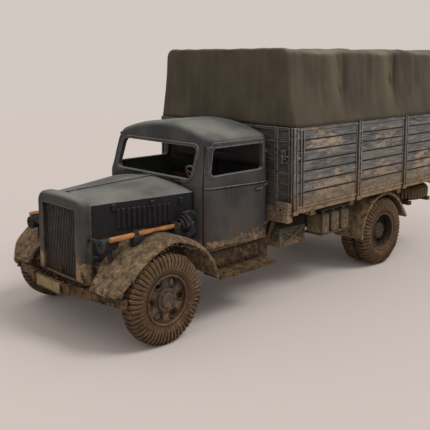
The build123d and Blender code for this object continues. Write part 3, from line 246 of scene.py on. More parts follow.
finishes = {
    # matt dark grey vehicle paint, brushed on by hand, grey-green on top from dust and painted top light
    "cab_paint": paintedFinish("cabBrushPaint"),
    # near-black paint on the frame and axles, browned by mud
    "chassis_black": paintedFinish("framePaint", base="#211f1d", drift="#2b2723", edge="#5c5348", dustAmount=0.3,
                                   dust="#5f564a", mudTopMm=11.0, mudAmount=0.7),
    # tyre black all but hidden under ochre mud
    "tyre_mud": paintedFinish("muddyTyre", base="#403124", drift="#523d2c", streakAmount=0.1, edge="#b8956c",
                              edgeAmount=1.0, wash="#18110b", washAmount=0.9, washMm=0.7, mudTopMm=8.0,
                              mudFadeMm=14.0, mudAmount=0.7, mud="#8f6e4f", mudDark="#4b3625", dust="#7a5f45",
                              dustAmount=0.5, grainHeight=0.08),
    # dark grey wheel paint under brown mud
    "wheel_paint": paintedFinish("wheelPaint", base="#453a31", drift="#604b37", edge="#9c8263", mudTopMm=8.0,
                                 mudFadeMm=10.0, mudAmount=0.75, mud="#8d6f51", mudDark="#4a3727", dustAmount=0.2,
                                 washMm=1.1),
    # grey-blue board paint over wood grain, scuffed to tan in patches, muddy along the sill
    "bed_boards": paintedFinish("bedBoardPaint", planks=(21.3, 2.05, -11.75, 20.6, "#6d6a66"),
                                scuffs=((frontAxleY + 40.5, 31.0, 7.5, 3.8, 0.17),
                                        (frontAxleY + 44.0, 21.8, 13.0, 4.2, 0.15),
                                        (frontAxleY + 60.3, 29.8, 11.0, 4.4, 0.12),
                                        (frontAxleY + 61.0, 22.4, 12.0, 3.8, 0.12),
                                        (frontAxleY + 78.5, 23.0, 9.0, 6.0, 0.16)), **boardLook),
    # olive-brown paint stroked downward over the moulded canvas, with painted highlight on the raised folds, painted
    # shade in the hollows and a wide wash that adds painted shade behind the folds
    "tilt_canvas": paintedFinish("tiltCanvasPaint", base="#463f34", drift="#4f483a", driftMm=9.0, streak="#625b4b",
                                 streakMm=1.5, streakRun=8.0, streakAmount=0.28, edge="#7b7461", edgeAmount=0.35,
                                 raised="#655e4c", sunk="#2a261f", filmAmount=0.0,
                                 edgeMm=0.5, dust="#8f8975", dustAmount=0.6, mudAmount=0.0, washAmount=0.7,
                                 washMm=1.8, roughness=0.9),
    # orange-tan paint standing for ash wood
    "tool_handle": paintedFinish("toolHandlePaint", base="#a8703c", drift="#8a5830", streak="#c9935b", driftMm=2.5,
                                 streakMm=0.3, streakAxis=1, streakAmount=0.6, edge="#cf9f68", mudTopMm=8.0,
                                 dustAmount=0.0, washMm=0.6),
    # red-brown seat paint, dulled by wash
    "seat_brown": paintedFinish("seatPaint", base="#3c2014", drift="#4a2a1a", streak="#5a3421", edge="#7a4c30",
                                edgeAmount=0.7, mudAmount=0.0, dust="#6b4029", dustAmount=0.5, washMm=1.6),
    # sand-coloured plate, left blank
    "plate_sand": paintedFinish("platePaint", base="#8a7655", drift="#9b8764", streak="#6e5c42", edge="#b8a27c",
                                driftMm=1.2, mudTopMm=8.0, mudFadeMm=4.0, mudAmount=0.6),
}
ownFinishes = {
    # the bonnet's sides, kept almost black: a heavy dark wash and painted shade for the fender's shadow
    "shadedSide": paintedFinish("shadedSidePaint", base="#19181a", drift="#1f1e20", streak="#29282a", edge="#3c3b3c",
                                edgeAmount=0.5, mudTopMm=12.5),
    # radiator shell, with a pale crust of mud at its foot
    "shellPaint": paintedFinish("shellPaint", mud="#b89b78", mudDark="#7d654c", mudTopMm=13.7, mudFadeMm=3.6),
    # radiator slats, dark with dry-brushed edges
    "radiatorSlats": paintedFinish("radiatorSlatPaint", base="#232224", drift="#2e2c2d", streak="#65605a",
                                   streakAmount=0.35, edge="#8d8984", edgeMm=0.1, washMm=1.3, washAmount=1.0,
                                   mudTopMm=11.0, mudFadeMm=3.5, mudAmount=0.6, mud="#8b7860"),
    # fenders, boards and guards: the same paint all but covered by ochre splashes
    "splashed": paintedFinish("splashedPaint", base="#443e38", drift="#5a5044", streak="#6e6353", edge="#b09a78",
                              wash="#120d0a", mudTopMm=19.0, mudFadeMm=8.0, mudMm=1.5, mudAmount=0.95, mud="#b89d79",
                              mudDark="#503c2a", dust="#978669", dustAmount=0.35, washMm=1.8, grainHeight=0.1),
    # running boards and bumper: darker wet-looking mud with light crumbs
    "trodden": paintedFinish("troddenPaint", base="#2f2a26", drift="#453a30", streak="#5a4c3d", edge="#a98c66",
                             wash="#0f0b08", mudTopMm=12.0, mudFadeMm=8.0, mudMm=1.2, mudAmount=0.9, mud="#97754f",
                             mudDark="#33251a", dustAmount=0.0, washMm=1.6, grainHeight=0.1),
    # rear wheel dishes, dark paint that stands as painted shade behind the hub
    "darkDish": paintedFinish("darkDishPaint", base="#1e1c1c", drift="#2a2625", edge="#7f6a50", mudTopMm=5.0,
                              mudFadeMm=6.0, mudAmount=0.5, washMm=2.4, washAmount=1.0, dustAmount=0.0),
    # thin black paint run into the gaps round doors and lids, which also stands as painted shade in the gaps
    "gapWash": paintedFinish("gapWash", base="#0b0a0a", drift="#121010", streak="#171414", edge="#1d1a18",
                             dustAmount=0.0, mudAmount=0.12, filmAmount=0.1),
    # tool heads and clamps: near-black with metal-grey edges
    "toolSteel": paintedFinish("toolSteelPaint", base="#1d1e20", drift="#282829", streak="#3a3937", edge="#7b7872",
                               edgeAmount=0.7, edgeMm=0.1, dustAmount=0.1, mudTopMm=9.0),
    # front wheel discs, with black paint run round the hand holes as painted shade that makes them look bigger
    "frontDisc": paintedFinish("frontDiscPaint", base="#4a3f35", drift="#67523d", edge="#957b5d", edgeAmount=0.6,
                               mudTopMm=8.0, mudFadeMm=10.0, mudAmount=0.55, mud="#8d6f51", mudDark="#4a3727",
                               dustAmount=0.2, washMm=1.1, chip="#0f0d0c", chipMm=0.8, chipAmount=0.03,
                               scuffs=tuple((frontAxleY + y, axleZ + z, 1.35, 1.35, 0.6) for y, z in discHoles)),
    # steering wheel, dark with worn grey edges that catch the light
    "steering": paintedFinish("steeringPaint", base="#4a4846", drift="#5a5754", edge="#b3afa8", edgeAmount=1.0,
                              washAmount=0.3, mudAmount=0.0, dust="#98948d"),
    # inside of the cab, dark
    "cabInside": paintedFinish("cabInsidePaint", base="#161516", drift="#1d1b1b", streak="#262424", edge="#4a4744",
                               dustAmount=0.2, dust="#3a3734", mudAmount=0.0),
    # headboard: the board paint darkened as painted shade, with picked-out edges
    "headboard": paintedFinish("headboardPaint", **dict(boardLook, base="#333338", drift="#3d3c3f", streakAxis=0,
                                                        chipStretch=(0.4, 1, 1.2), chipAmount=0.16, streak="#5f5c5a",
                                                        mudTopMm=17.5)),
    # carried cans and box: grey paint gone tan, the base darkened as painted shade for the can that stands in shadow
    "canPaint": paintedFinish("canPaint", base="#595044", drift="#776a56", streak="#8f8068", edge="#bda986",
                              mudTopMm=13.0, mudFadeMm=6.0, mudAmount=0.75, mud="#a8916c", mudDark="#5d4b38"),
    # stowage box: dark blue-grey with its ribs picked out in tan
    "boxPaint": paintedFinish("boxPaint", base="#323438", drift="#45433f", edge="#b5a181", edgeAmount=1.0,
                              mudTopMm=11.5, mudFadeMm=6.0, mudAmount=0.7),
    # backs of the seats, painted near-black as the shade inside the cab
    "seatBack": paintedFinish("seatBackPaint", base="#100e0e", drift="#151211", streak="#1b1614", edge="#2a211c",
                              dustAmount=0.0, mudAmount=0.0),
}
finishOf = {
    "radiator_shell": "shellPaint", "grille": "radiatorSlats", "bumper": "trodden", "horn": "toolSteel",
    "dashboard": "cabInside", "cab_floor": "cabInside", "headboard": "headboard", "tailgate": "headboard",
    "stowage_box": "boxPaint",
}
pairedFinishes = {
    "bonnet_side": "shadedSide", "fender": "splashed", "running_board": "trodden", "rear_mudguard": "splashed",
    "front_wheel_disc": "frontDisc", "rear_wheel_disc": "darkDish", "headlamp": "toolSteel",
}
for name, finish in pairedFinishes.items():
    finishOf[name + "_left"] = finishOf[name + "_right"] = finish
slotOf = {part["node"]: part["material_slot"] for part in frame["record"]["subparts"]}
bodyOf = {node: body for body, members in frame["record"]["behaviour"]["bodies"].items() for node in members}
for name, part in nodes.items():
    part.data.materials.clear()
    part.data.materials.append(ownFinishes[finishOf[name]] if name in finishOf else finishes[slotOf[name]])
print("finishes on", len(nodes), "nodes")


def setPiece(name, mesh, body, slotName, replaced=(), finish=None, smoothAngle=35):
    # turns a finished bmesh in millimetres into a named piece that rides on its body
    bmesh.ops.recalc_face_normals(mesh, faces=mesh.faces)
    bmesh.ops.scale(mesh, vec=(mm, mm, mm), verts=mesh.verts)
    data = bpy.data.meshes.new(name)
    mesh.to_mesh(data)
    mesh.free()
    data.shade_smooth()
    data.set_sharp_from_angle(angle=math.radians(smoothAngle))
    data.materials.append(ownFinishes[finish] if finish else finishes[slotName])
    piece = bpy.data.objects.new(name, data)
    bpy.context.scene.collection.objects.link(piece)
    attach(piece, body)
    if replaced:
        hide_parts(*replaced)
    return piece


def addBlock(mesh, low, high, rounding=0.08):
    # a block with rounded edges between two corners
    low, high = Vector(low), Vector(high)
    size = Vector([abs(v) for v in high - low])
    place = Matrix.Translation((low + high) / 2) @ Matrix.Diagonal((*size, 1))
    made = bmesh.ops.create_cube(mesh, size=1.0, matrix=place)
    edges = list({e for v in made["verts"] for e in v.link_edges})
    bmesh.ops.bevel(mesh, geom=edges, offset=min(rounding, min(size) * 0.3), affect="EDGES", segments=2, profile=0.5,
                    material=-1)


def addRod(mesh, start, end, radius, sides=10, endRadius=None, softened=True):
    # a rod between two points, its rims softened
    start, end = Vector(start), Vector(end)
    run = end - start
    place = Matrix.Translation((start + end) / 2) @ run.to_track_quat("Z", "Y").to_matrix().to_4x4()
    made = bmesh.ops.create_cone(mesh, cap_ends=True, segments=sides, radius1=radius,
                                 radius2=radius if endRadius is None else endRadius, depth=run.length, matrix=place)
    if softened:
        rims = [e for e in {e for v in made["verts"] for e in v.link_edges}
                if len(e.link_faces) == 2 and e.calc_face_angle() > 0.9]
        bmesh.ops.bevel(mesh, geom=rims, offset=radius * 0.2, affect="EDGES", segments=1, profile=0.5, material=-1)


def addBentRod(mesh, points, radius, sides=6):
    # straight rods end to end through the points
    for start, end in zip(points, points[1:]):
        addRod(mesh, start, end, radius, sides, softened=False)


def addRing(mesh, centre, axis, radius, thick, steps=28, sides=8):
    # a round ring, spun from a small circle
    turn = Vector(axis).to_track_quat("Z", "Y").to_matrix().to_4x4()
    circle = bmesh.ops.create_circle(mesh, cap_ends=False, segments=sides, radius=thick,
                                     matrix=Matrix.Translation((radius, 0, 0)) @ Matrix.Rotation(math.pi / 2, 4, "X"))
    verts = circle["verts"]
    edges = list({e for v in verts for e in v.link_edges})
    before = set(mesh.verts) - set(verts)
    bmesh.ops.spin(mesh, geom=verts + edges, cent=(0, 0, 0), axis=(0, 0, 1), dvec=(0, 0, 0), angle=2 * math.pi,
                   steps=steps, use_merge=True)
    bmesh.ops.transform(mesh, matrix=Matrix.Translation(Vector(centre)) @ turn,
                        verts=[v for v in mesh.verts if v not in before])


def addStud(mesh, centre, axis, radius, height=None):
    # a bolt head: a ball pressed flat along its axis
    turn = Vector(axis).to_track_quat("Z", "Y").to_matrix().to_4x4()
    flat = Matrix.Diagonal((1, 1, (height or radius * 0.8) / radius, 1))
    bmesh.ops.create_uvsphere(mesh, u_segments=8, v_segments=5, radius=radius,
                              matrix=Matrix.Translation(Vector(centre)) @ turn @ flat)


# Tilt: canvas moulded over three bays of hoops, sagging between them and folded ahead of each hoop
tiltShape = {
    "shoulderMm": 1.8, "flareMm": 1.9, "flarePower": 1.9, "wallMm": 0.7, "frontEdgeMm": 0.6,
    "sagMm": 0.8, "sideSagMm": 0.45, "frontSagMm": 0.35,
    "columns": 40, "rows": 24, "runs": 150,
    # how far behind the front, how proud, and how long it rises before and falls behind
    "folds": ((3.2, 0.22, 1.8, 1.2), (9.4, 0.25, 1.2, 1.4), (16.0, 0.95, 6.0, 0.7), (17.6, -0.4, 0.9, 3.4),
              (25.0, 0.2, 1.6, 1.0), (28.4, 0.3, 1.2, 1.6), (35.4, 0.95, 6.5, 0.7), (37.0, -0.4, 0.9, 3.2),
              (44.5, 0.25, 1.6, 1.2), (54.6, 0.7, 5.0, 0.9), (56.2, -0.3, 0.9, 2.6)),
}


def makeTilt():
    low, high = corners("tilt")
    halfLow = high.x
    halfHigh = halfLow - tiltShape["flareMm"]
    tall = high.z - low.z
    long = high.y - low.y
    bay = long / 3
    shoulder = tiltShape["shoulderMm"]
    edge = tiltShape["frontEdgeMm"]

    def halfAt(up):
        # half width at a height above the boards, with the flare low down and the round shoulder
        half = halfHigh + (halfLow - halfHigh) * (1 - up / tall) ** tiltShape["flarePower"]
        rest = tall - up
        if rest < shoulder:
            half -= shoulder - math.sqrt(max(shoulder ** 2 - (shoulder - rest) ** 2, 0))
        return half

    mesh = bmesh.new()
    bmesh.ops.create_grid(mesh, x_segments=tiltShape["columns"], y_segments=tiltShape["rows"], size=1.0)
    for vert in mesh.verts:
        across, up = vert.co.x, (vert.co.y + 1) / 2
        up = tall * (1 - (1 - up) ** 1.35)
        vert.co = Vector((across * halfAt(up), low.y, low.z + up))
    rim = [e for e in mesh.edges if e.is_boundary and max(v.co.z for v in e.verts) > low.z + 1e-3]
    steps = [0.12, 0.18, 0.25, 0.35] + [(long - 0.9) / tiltShape["runs"]] * tiltShape["runs"]
    for step in steps:
        pulled = bmesh.ops.extrude_edge_only(mesh, edges=rim)["geom"]
        bmesh.ops.translate(mesh, verts=[g for g in pulled if isinstance(g, bmesh.types.BMVert)], vec=(0, step, 0))
        rim = [g for g in pulled if isinstance(g, bmesh.types.BMEdge)]
    # the rear edge turns in round the opening
    last = 0.0
    for inward, back in ((0.5, 0.0), (1.9, 0.0), (2.4, -0.4), (2.4, -1.2)):
        pulled = bmesh.ops.extrude_edge_only(mesh, edges=rim)["geom"]
        rim = [g for g in pulled if isinstance(g, bmesh.types.BMEdge)]
        for vert in (g for g in pulled if isinstance(g, bmesh.types.BMVert)):
            vert.co.y = high.y + back
            vert.co.x *= 1 - (inward - last) / halfLow
            if vert.co.z > low.z + 1e-3:
                vert.co.z -= (inward - last) * min((vert.co.z - low.z) / tall, 1)
        last = inward
    mesh.normal_update()
    # how far each point stands out, which the tilt's finish turns into painted highlight and painted shade
    relief = mesh.verts.layers.float.new("relief")
    for vert in mesh.verts:
        place = vert.co.copy()
        y = place.y - low.y
        up = (place.z - low.z) / tall
        # front corners rounded off
        pull = edge - math.sqrt(max(edge ** 2 - max(edge - y, 0) ** 2, 0))
        vert.co.x *= 1 - pull / halfLow
        vert.co.z -= up * pull
        hang = 1 - abs(2 * ((y / bay) % 1.0) - 1) ** 1.6
        sideways = min(abs(place.x) / max(halfAt(place.z - low.z), 0.1), 1) ** 24 if y > edge else 0
        overhead = max(up - 0.85, 0) / 0.15
        vert.co.z -= tiltShape["sagMm"] * hang * overhead * (1 - 0.25 * abs(place.x) / halfLow)
        held = math.sin(math.pi * min(max(up, 0), 1)) ** 0.7
        inward = tiltShape["sideSagMm"] * hang * held
        for at, proud, ahead, behind in tiltShape["folds"]:
            gap = y - at - 0.8 * (up - 0.5)
            fold = max(1 - abs(gap) / (ahead if gap < 0 else behind), 0) ** 1.3 * min(up * 1.8 + 0.1, 1)
            inward -= proud * fold
            vert[relief] += proud * fold * sideways
        vert.co.x -= math.copysign(inward * sideways, place.x)
        if y < 0.01:
            vert.co.y += (tiltShape["frontSagMm"] * math.cos(place.x / halfLow * math.pi / 2)
                          * math.sin(math.pi * min(up, 1)))
        ripple = noise.noise(Vector((place.x * 0.3, place.y * 0.25, place.z * 0.12)))
        small = noise.noise(Vector((place.x * 0.9, place.y * 0.8, place.z * 0.35)) + Vector((9, 4, 2)))
        vert.co += vert.normal * (0.16 * ripple + 0.06 * small) * min(up * 4, 1)
        vert.co.x = min(max(vert.co.x, low.x), high.x)
        vert.co.y = min(max(vert.co.y, low.y - 0.1), high.y + 0.1)
    piece = setPiece("tiltCover", mesh, "truck", "tilt_canvas", ("tilt",), smoothAngle=60)
    wall = piece.modifiers.new("wall", "SOLIDIFY")
    wall.thickness = tiltShape["wallMm"] * mm
    wall.offset = -1


makeTilt()
print("tilt")

# Tyres: balloon section with a ring of ribs on each shoulder and a blocked tread
tyreShape = {
    "ribs": 54, "ribMm": 0.27, "widthMm": 3.2,
    # half section from bead to tread middle: distance from the wheel's middle plane, radius
    "section": ((1.25, 4.3), (1.45, 4.55), (1.6, 5.2), (1.58, 5.9), (1.5, 6.5), (1.3, 7.05), (0.95, 7.4),
                (0.45, 7.46)),
    "ribbed": (5.4, 7.47),  # radii between which the ribs stand
    "ribRise": ((5.5, 0.25), (6.2, 0.7)),  # inside each radius a rib has this share of its height
}


def addTyre(mesh, centre, flat=False):
    # the section spun round the axle, every other slice raised into a rib
    half = [Vector((x, 0, r)) for x, r in tyreShape["section"]]
    points = half + [Vector((-p.x, 0, p.z)) for p in reversed(half)]
    first = set(mesh.faces)
    verts = [mesh.verts.new(p) for p in points]
    edges = [mesh.edges.new(pair) for pair in zip(verts, verts[1:] + verts[:1])]
    steps = tyreShape["ribs"] * 2
    bmesh.ops.spin(mesh, geom=verts + edges, cent=(0, 0, 0), axis=(1, 0, 0), dvec=(0, 0, 0), angle=2 * math.pi,
                   steps=steps, use_merge=True)
    slices = {}
    for face in (f for f in mesh.faces if f not in first):
        middle = face.calc_center_median()
        if tyreShape["ribbed"][0] < math.hypot(middle.y, middle.z) < tyreShape["ribbed"][1]:
            turn = math.atan2(middle.y, middle.z) / (2 * math.pi) * steps
            slices.setdefault(int(math.floor(turn)) % steps, []).append(face)
    for faces in (faces for number, faces in slices.items() if number % 2 == 0):
        raised = bmesh.ops.extrude_face_region(mesh, geom=faces)["geom"]
        bmesh.ops.delete(mesh, geom=[f for f in faces if f.is_valid], context="FACES_ONLY")
        for vert in (g for g in raised if isinstance(g, bmesh.types.BMVert)):
            radius = math.hypot(vert.co.y, vert.co.z)
            spoke = Vector((0, vert.co.y, vert.co.z)).normalized()
            shoulder = min(max((7.3 - radius) / 1.0, 0), 1)
            out = spoke * (1 - shoulder * 0.8) + Vector((math.copysign(1, vert.co.x), 0, 0)) * shoulder * 0.8
            worn = 0.85 + 0.4 * noise.noise(vert.co * 0.6 + Vector(centre))
            rise = next((share for limit, share in tyreShape["ribRise"] if radius < limit), 1)
            vert.co += out.normalized() * tyreShape["ribMm"] * worn * rise
    place = Matrix.Translation(Vector(centre))
    if flat:
        place = place @ Matrix.Rotation(math.radians(-90), 4, "Y")
    for vert in {v for f in mesh.faces if f not in first for v in f.verts}:
        lump = noise.noise(vert.co * 1.1 + Vector(centre) * 0.1) + 0.6 * noise.noise(vert.co * 3.1)
        vert.co += Vector((0, vert.co.y, vert.co.z)).normalized() * 0.04 * lump
        vert.co = place @ vert.co


tyres = {"front_tyre_left": "frontTyreLeft", "front_tyre_right": "frontTyreRight", "rear_tyres_left": "rearTyresLeft",
         "rear_tyres_right": "rearTyresRight", "spare_tyre": "spareTyre"}
for node, title in tyres.items():
    low, high = corners(node)
    middle = (low + high) / 2
    mesh = bmesh.new()
    if "tyres" in node:
        addTyre(mesh, (low.x + tyreShape["widthMm"] / 2, middle.y, middle.z))
        addTyre(mesh, (high.x - tyreShape["widthMm"] / 2, middle.y, middle.z))
    else:
        addTyre(mesh, middle, node == "spare_tyre")
    setPiece(title + "Moulded", mesh, bodyOf[node], "tyre_mud", (node,), smoothAngle=28)
print("tyres")

# Wheel fittings: rim edge, hub nuts and dark rings of painted shade round the hand holes
wheelTrim = {"rimMm": 4.12, "rimThickMm": 0.15, "rimInsetMm": 0.25, "nuts": 8, "nutMm": 0.17,
             "frontFaceMm": 1.25, "rearFaceMm": 0.5, "frontNutsMm": 1.6, "rearNutsMm": 1.35,
             "discFaceMm": 0.85, "holeMm": 0.88, "holeThickMm": 0.24, "holeSunkMm": 0.14}


def addWheelTrim(mesh, centre, side, face, nutsAt):
    outer = centre + Vector((side * (tyreShape["widthMm"] / 2 - wheelTrim["rimInsetMm"]), 0, 0))
    addRing(mesh, outer, (1, 0, 0), wheelTrim["rimMm"], wheelTrim["rimThickMm"], 40)
    for n in range(wheelTrim["nuts"]):
        turn = 2 * math.pi * n / wheelTrim["nuts"]
        foot = centre + Vector((side * face, nutsAt * math.cos(turn), nutsAt * math.sin(turn)))
        addRod(mesh, foot - Vector((side * 0.1, 0, 0)), foot + Vector((side * 0.2, 0, 0)), wheelTrim["nutMm"], 6)


for side, hand in ((1, "Left"), (-1, "Right")):
    low, high = corners("front_tyre_" + hand.lower())
    mesh = bmesh.new()
    addWheelTrim(mesh, (low + high) / 2, side, wheelTrim["frontFaceMm"], wheelTrim["frontNutsMm"])
    setPiece("frontWheelTrim" + hand, mesh, "front_wheel_" + hand.lower(), "wheel_paint")
    # dark rings round the hand holes, painted shade that makes the holes look bigger
    mesh = bmesh.new()
    depth = side * (wheelTrim["discFaceMm"] - wheelTrim["holeSunkMm"])
    for y, z in discHoles:
        hole = (low + high) / 2 + Vector((depth, y, z))
        addRing(mesh, hole, (1, 0, 0), wheelTrim["holeMm"], wheelTrim["holeThickMm"], 18, 6)
    setPiece("handHoles" + hand, mesh, "front_wheel_" + hand.lower(), "wheel_paint", finish="gapWash")
    low, high = corners("rear_tyres_" + hand.lower())
    outer = (low + high) / 2
    outer.x = (high.x if side > 0 else low.x) - side * tyreShape["widthMm"] / 2
    mesh = bmesh.new()
    addWheelTrim(mesh, outer, side, wheelTrim["rearFaceMm"], wheelTrim["rearNutsMm"])
    setPiece("rearWheelTrim" + hand, mesh, "rear_wheels_" + hand.lower(), "wheel_paint")
print("wheel trim")

# Cab surface: half width at a place behind the axle and a height, for the trim that lies on it
cabShape = {"front": 11.0, "rear": 29.0, "half": 14.6, "topHalf": 14.2, "belt": 24.6, "top": 36.3, "lean": 3.9,
            "frontCorner": 2.8, "rearCorner": 1.9}


def cabSide(y, z):
    share = max(z - cabShape["belt"], 0) / (cabShape["top"] - cabShape["belt"])
    half = cabShape["half"] - (cabShape["half"] - cabShape["topHalf"]) * share
    into = cabShape["front"] + cabShape["lean"] * share + cabShape["frontCorner"] - y
    if into > 0:
        half -= cabShape["frontCorner"] - math.sqrt(max(cabShape["frontCorner"] ** 2 - into ** 2, 0))
    into = y - cabShape["rear"] + cabShape["rearCorner"]
    if into > 0:
        half -= cabShape["rearCorner"] - math.sqrt(max(cabShape["rearCorner"] ** 2 - into ** 2, 0))
    return half


def onCab(side, y, z, proud=0.0):
    return Vector((side * (cabSide(y, z) + proud), frontAxleY + y, z))


# Door gaps, belt mouldings, handles, hinges and wipers
doorTrim = {
    "gapMm": 0.13, "gapSunkMm": 0.05, "bottom": 12.9, "belt": 24.6, "top": 31.4, "front": 11.9, "frontTop": 13.5,
    "rear": 28.0,
    # the moulding below the windows: where it starts, how far it runs, and its height at either end
    "beltStart": 12.0, "beltRun": 16.6, "beltSteps": 14, "beltFront": 24.1, "beltRear": 23.55, "beltMm": 0.13,
    "beltGapDrop": 0.17,
    "handle": (24.6, 26.2, 22.55), "handleOut": 0.34, "handleMm": 0.14, "handlePostMm": 0.11,
    "hinges": (15.4, 23.0, 29.6), "hingeMm": 0.2, "hingeHalfTall": 0.42, "hingeLeaf": 0.9,
    "bonnetGapMm": 0.17, "bonnetGapFoot": 13.5,
    "wipers": ((2.2, 8.6), (-8.4, -2.4)), "wiperZ": 25.15,
}


def beltHeight(y):
    # the moulding falls evenly towards the rear
    fall = doorTrim["beltRear"] - doorTrim["beltFront"]
    return doorTrim["beltFront"] + fall * (y - doorTrim["beltStart"]) / doorTrim["beltRun"]


def makeDoorTrim():
    gaps, trims = bmesh.new(), bmesh.new()
    door = doorTrim
    front, rear, top, bottom = door["front"], door["rear"], door["top"], door["bottom"]
    run = [door["beltStart"] + n * door["beltRun"] / door["beltSteps"] for n in range(door["beltSteps"] + 1)]
    for side in (1, -1):
        outline = [(front, bottom), (front, door["belt"]), (door["frontTop"], top)]
        outline += [(door["frontTop"] + t * (rear - door["frontTop"]), top) for t in (0.1, 0.25, 0.6, 1)]
        outline += [(rear, door["belt"]), (rear, bottom)]
        outline += [(rear + t * (front - rear), bottom) for t in (0.5, 0.88, 0.95, 1)]
        addBentRod(gaps, [onCab(side, y, z, -door["gapSunkMm"]) for y, z in outline], door["gapMm"])
        addBentRod(trims, [onCab(side, y, beltHeight(y), 0.02) for y in run], door["beltMm"])
        addBentRod(gaps, [onCab(side, y, beltHeight(y) - door["beltGapDrop"], -0.03) for y in run], door["gapMm"])
        start, end, z = door["handle"]
        out = door["handleOut"]
        addRod(trims, onCab(side, start, z, out), onCab(side, end, z, out), door["handleMm"], 8)
        for y in (start + 0.2, end - 0.2):
            addRod(trims, onCab(side, y, z, -0.1), onCab(side, y, z, out), door["handlePostMm"], 8)
        pin, leaf, half = rear + 0.12, rear - door["hingeLeaf"], door["hingeHalfTall"]
        for z in door["hinges"]:
            addRod(trims, onCab(side, pin, z - half, 0.1), onCab(side, pin, z + half, 0.1), door["hingeMm"], 10)
            addBlock(trims, onCab(side, leaf, z - 0.2, -0.1),
                     onCab(side, leaf, z + 0.2, 0.09) + Vector((0, door["hingeLeaf"], 0)), 0.04)
    # the joint between the bonnet and the cab
    low, high = corners("bonnet_side_left")
    y = high.y - 0.12
    for side in (1, -1):
        x = side * (high.x - 0.05)
        addRod(gaps, (x, y, door["bonnetGapFoot"]), (x, y, high.z - 0.1), door["bonnetGapMm"], 6, softened=False)
    screenY, z = frontAxleY + cabShape["front"], door["wiperZ"]
    for start, end in door["wipers"]:
        foot = max(start, end)
        addRod(gaps, (start, screenY - 0.12, z), (end, screenY - 0.1, z + 0.12), 0.1, 6)
        addRod(gaps, ((start + end) / 2, screenY - 0.12, z + 0.05), (foot, screenY - 0.12, z - 0.55), 0.09, 6)
        addStud(gaps, (foot, screenY, z - 0.55), (0, 1, 0), 0.24, 0.3)
    # door gaps and bonnet joint: black wash and painted shade; the wipers share the near-black finish
    setPiece("doorGaps", gaps, "truck", "cab_paint", finish="gapWash")
    setPiece("cabTrim", trims, "truck", "cab_paint")


makeDoorTrim()
print("cab trim")

# Seat and steering wheel
seatShape = {"plinthTop": 15.6, "cushionTop": 18.8, "backRise": 1.5, "backTop": 26.5, "backDeep": 1.7, "padTop": 22.6,
             "halfWide": 12.6, "split": (1.9, 2.1)}
steeringShape = {"hub": (6.8, 16.4, 25.2), "tilt": 58, "rimMm": 2.2, "rimThickMm": 0.2, "spokes": (90, 210, 330),
                 "spokeMm": 0.13, "bossMm": 0.55, "columnMm": 0.28}


def makeCabInside():
    seat = seatShape
    low, high = corners("seat")
    wide, foot, top = seat["halfWide"], seat["plinthTop"], seat["cushionTop"]
    face = high.y - seat["backDeep"]
    mesh, backs = bmesh.new(), bmesh.new()
    addBlock(mesh, (-wide, low.y + 0.3, low.z), (wide, high.y, foot), 0.1)
    for left, right in ((-wide, seat["split"][0]), (seat["split"][1], wide)):
        addBlock(mesh, (left, low.y, foot), (right, high.y - 1.0, top), 0.7)
        addBlock(backs, (left, face, foot + seat["backRise"]), (right, high.y - 0.02, seat["backTop"]), 0.5)
        addBlock(mesh, (left + 0.9, face - 0.25, top + 0.3), (right - 0.9, face + 0.3, seat["padTop"]), 0.3)
    setPiece("seatCushions", mesh, "truck", "seat_brown", ("seat",), smoothAngle=50)
    # seat backs in near-black painted shade
    setPiece("seatBacks", backs, "truck", "seat_brown", finish="seatBack", smoothAngle=50)

    wheel = steeringShape
    low, high = corners("steering_wheel")
    x, y, z = wheel["hub"]
    hub = Vector((x, frontAxleY + y, z))
    tilt = math.radians(wheel["tilt"])
    column = Vector((0, math.sin(tilt), math.cos(tilt)))
    mesh = bmesh.new()
    addRing(mesh, hub, column, wheel["rimMm"], wheel["rimThickMm"], 36)
    for angle in wheel["spokes"]:
        reach = Matrix.Rotation(math.radians(angle), 3, column) @ Vector((wheel["rimMm"], 0, 0))
        addRod(mesh, hub, hub + reach, wheel["spokeMm"], 8)
    addRod(mesh, hub + column * 0.3, hub - column * 0.5, wheel["bossMm"], 14)
    reach = (hub.y - low.y - 1.0) / column.y
    addRod(mesh, hub, hub - column * reach, wheel["columnMm"], 10)
    setPiece("steeringRing", mesh, "truck", slotOf["steering_wheel"], ("steering_wheel",), finish="steering")


makeCabInside()
print("cab inside")

# Shovel on the left, pick on the right, each held by two clamps that stand on the fender
toolShape = {
    "x": 12.9, "z": 18.3, "front": -7.6, "rear": 7.6, "handleMm": 0.47,
    "clamps": ((-2.3, 16.3), (6.3, 16.0)),  # place behind the axle, height of the foot
    "bladeLong": 3.2, "bladeTall": 4.5, "bladeDish": 0.45, "bladeThick": 0.22,
    # coils that hold the blade: place behind the handle's end, radius, height above the handle
    "coils": ((-0.45, 0.95, 0.0), (0.1, 1.3, 0.15), (0.65, 1.55, 0.2), (1.2, 1.25, 0.1)), "coilMm": 0.2,
    "pickReach": 2.3, "pickBow": 0.8, "pickSteps": 8, "pickMm": 0.38,
}


def addToolHandle(wood, steel, side):
    tool = toolShape
    x, z, thick = side * tool["x"], tool["z"], tool["handleMm"]
    front, rear = frontAxleY + tool["front"], frontAxleY + tool["rear"]
    addRod(wood, (x, front, z - 0.05), (x, rear + 0.2, z), thick, 14, thick * 0.88)
    for y, foot in tool["clamps"]:
        y += frontAxleY
        addBlock(steel, (x - 0.7, y - 0.95, foot), (x + 0.7, y + 0.95, z - 0.1), 0.15)
        addRing(steel, (x, y, z), (0, 1, 0), thick + 0.1, 0.16, 18, 6)
        addRing(steel, (x, y - 0.45, z), (0, 1, 0), thick + 0.08, 0.12, 18, 6)
        addRod(steel, (x - 0.5, y, z + 0.3), (x - 0.5, y, z + 0.75), 0.13, 8)
        addStud(steel, (x + 0.3, y, z + 0.5), (0, 0, 1), 0.22, 0.2)


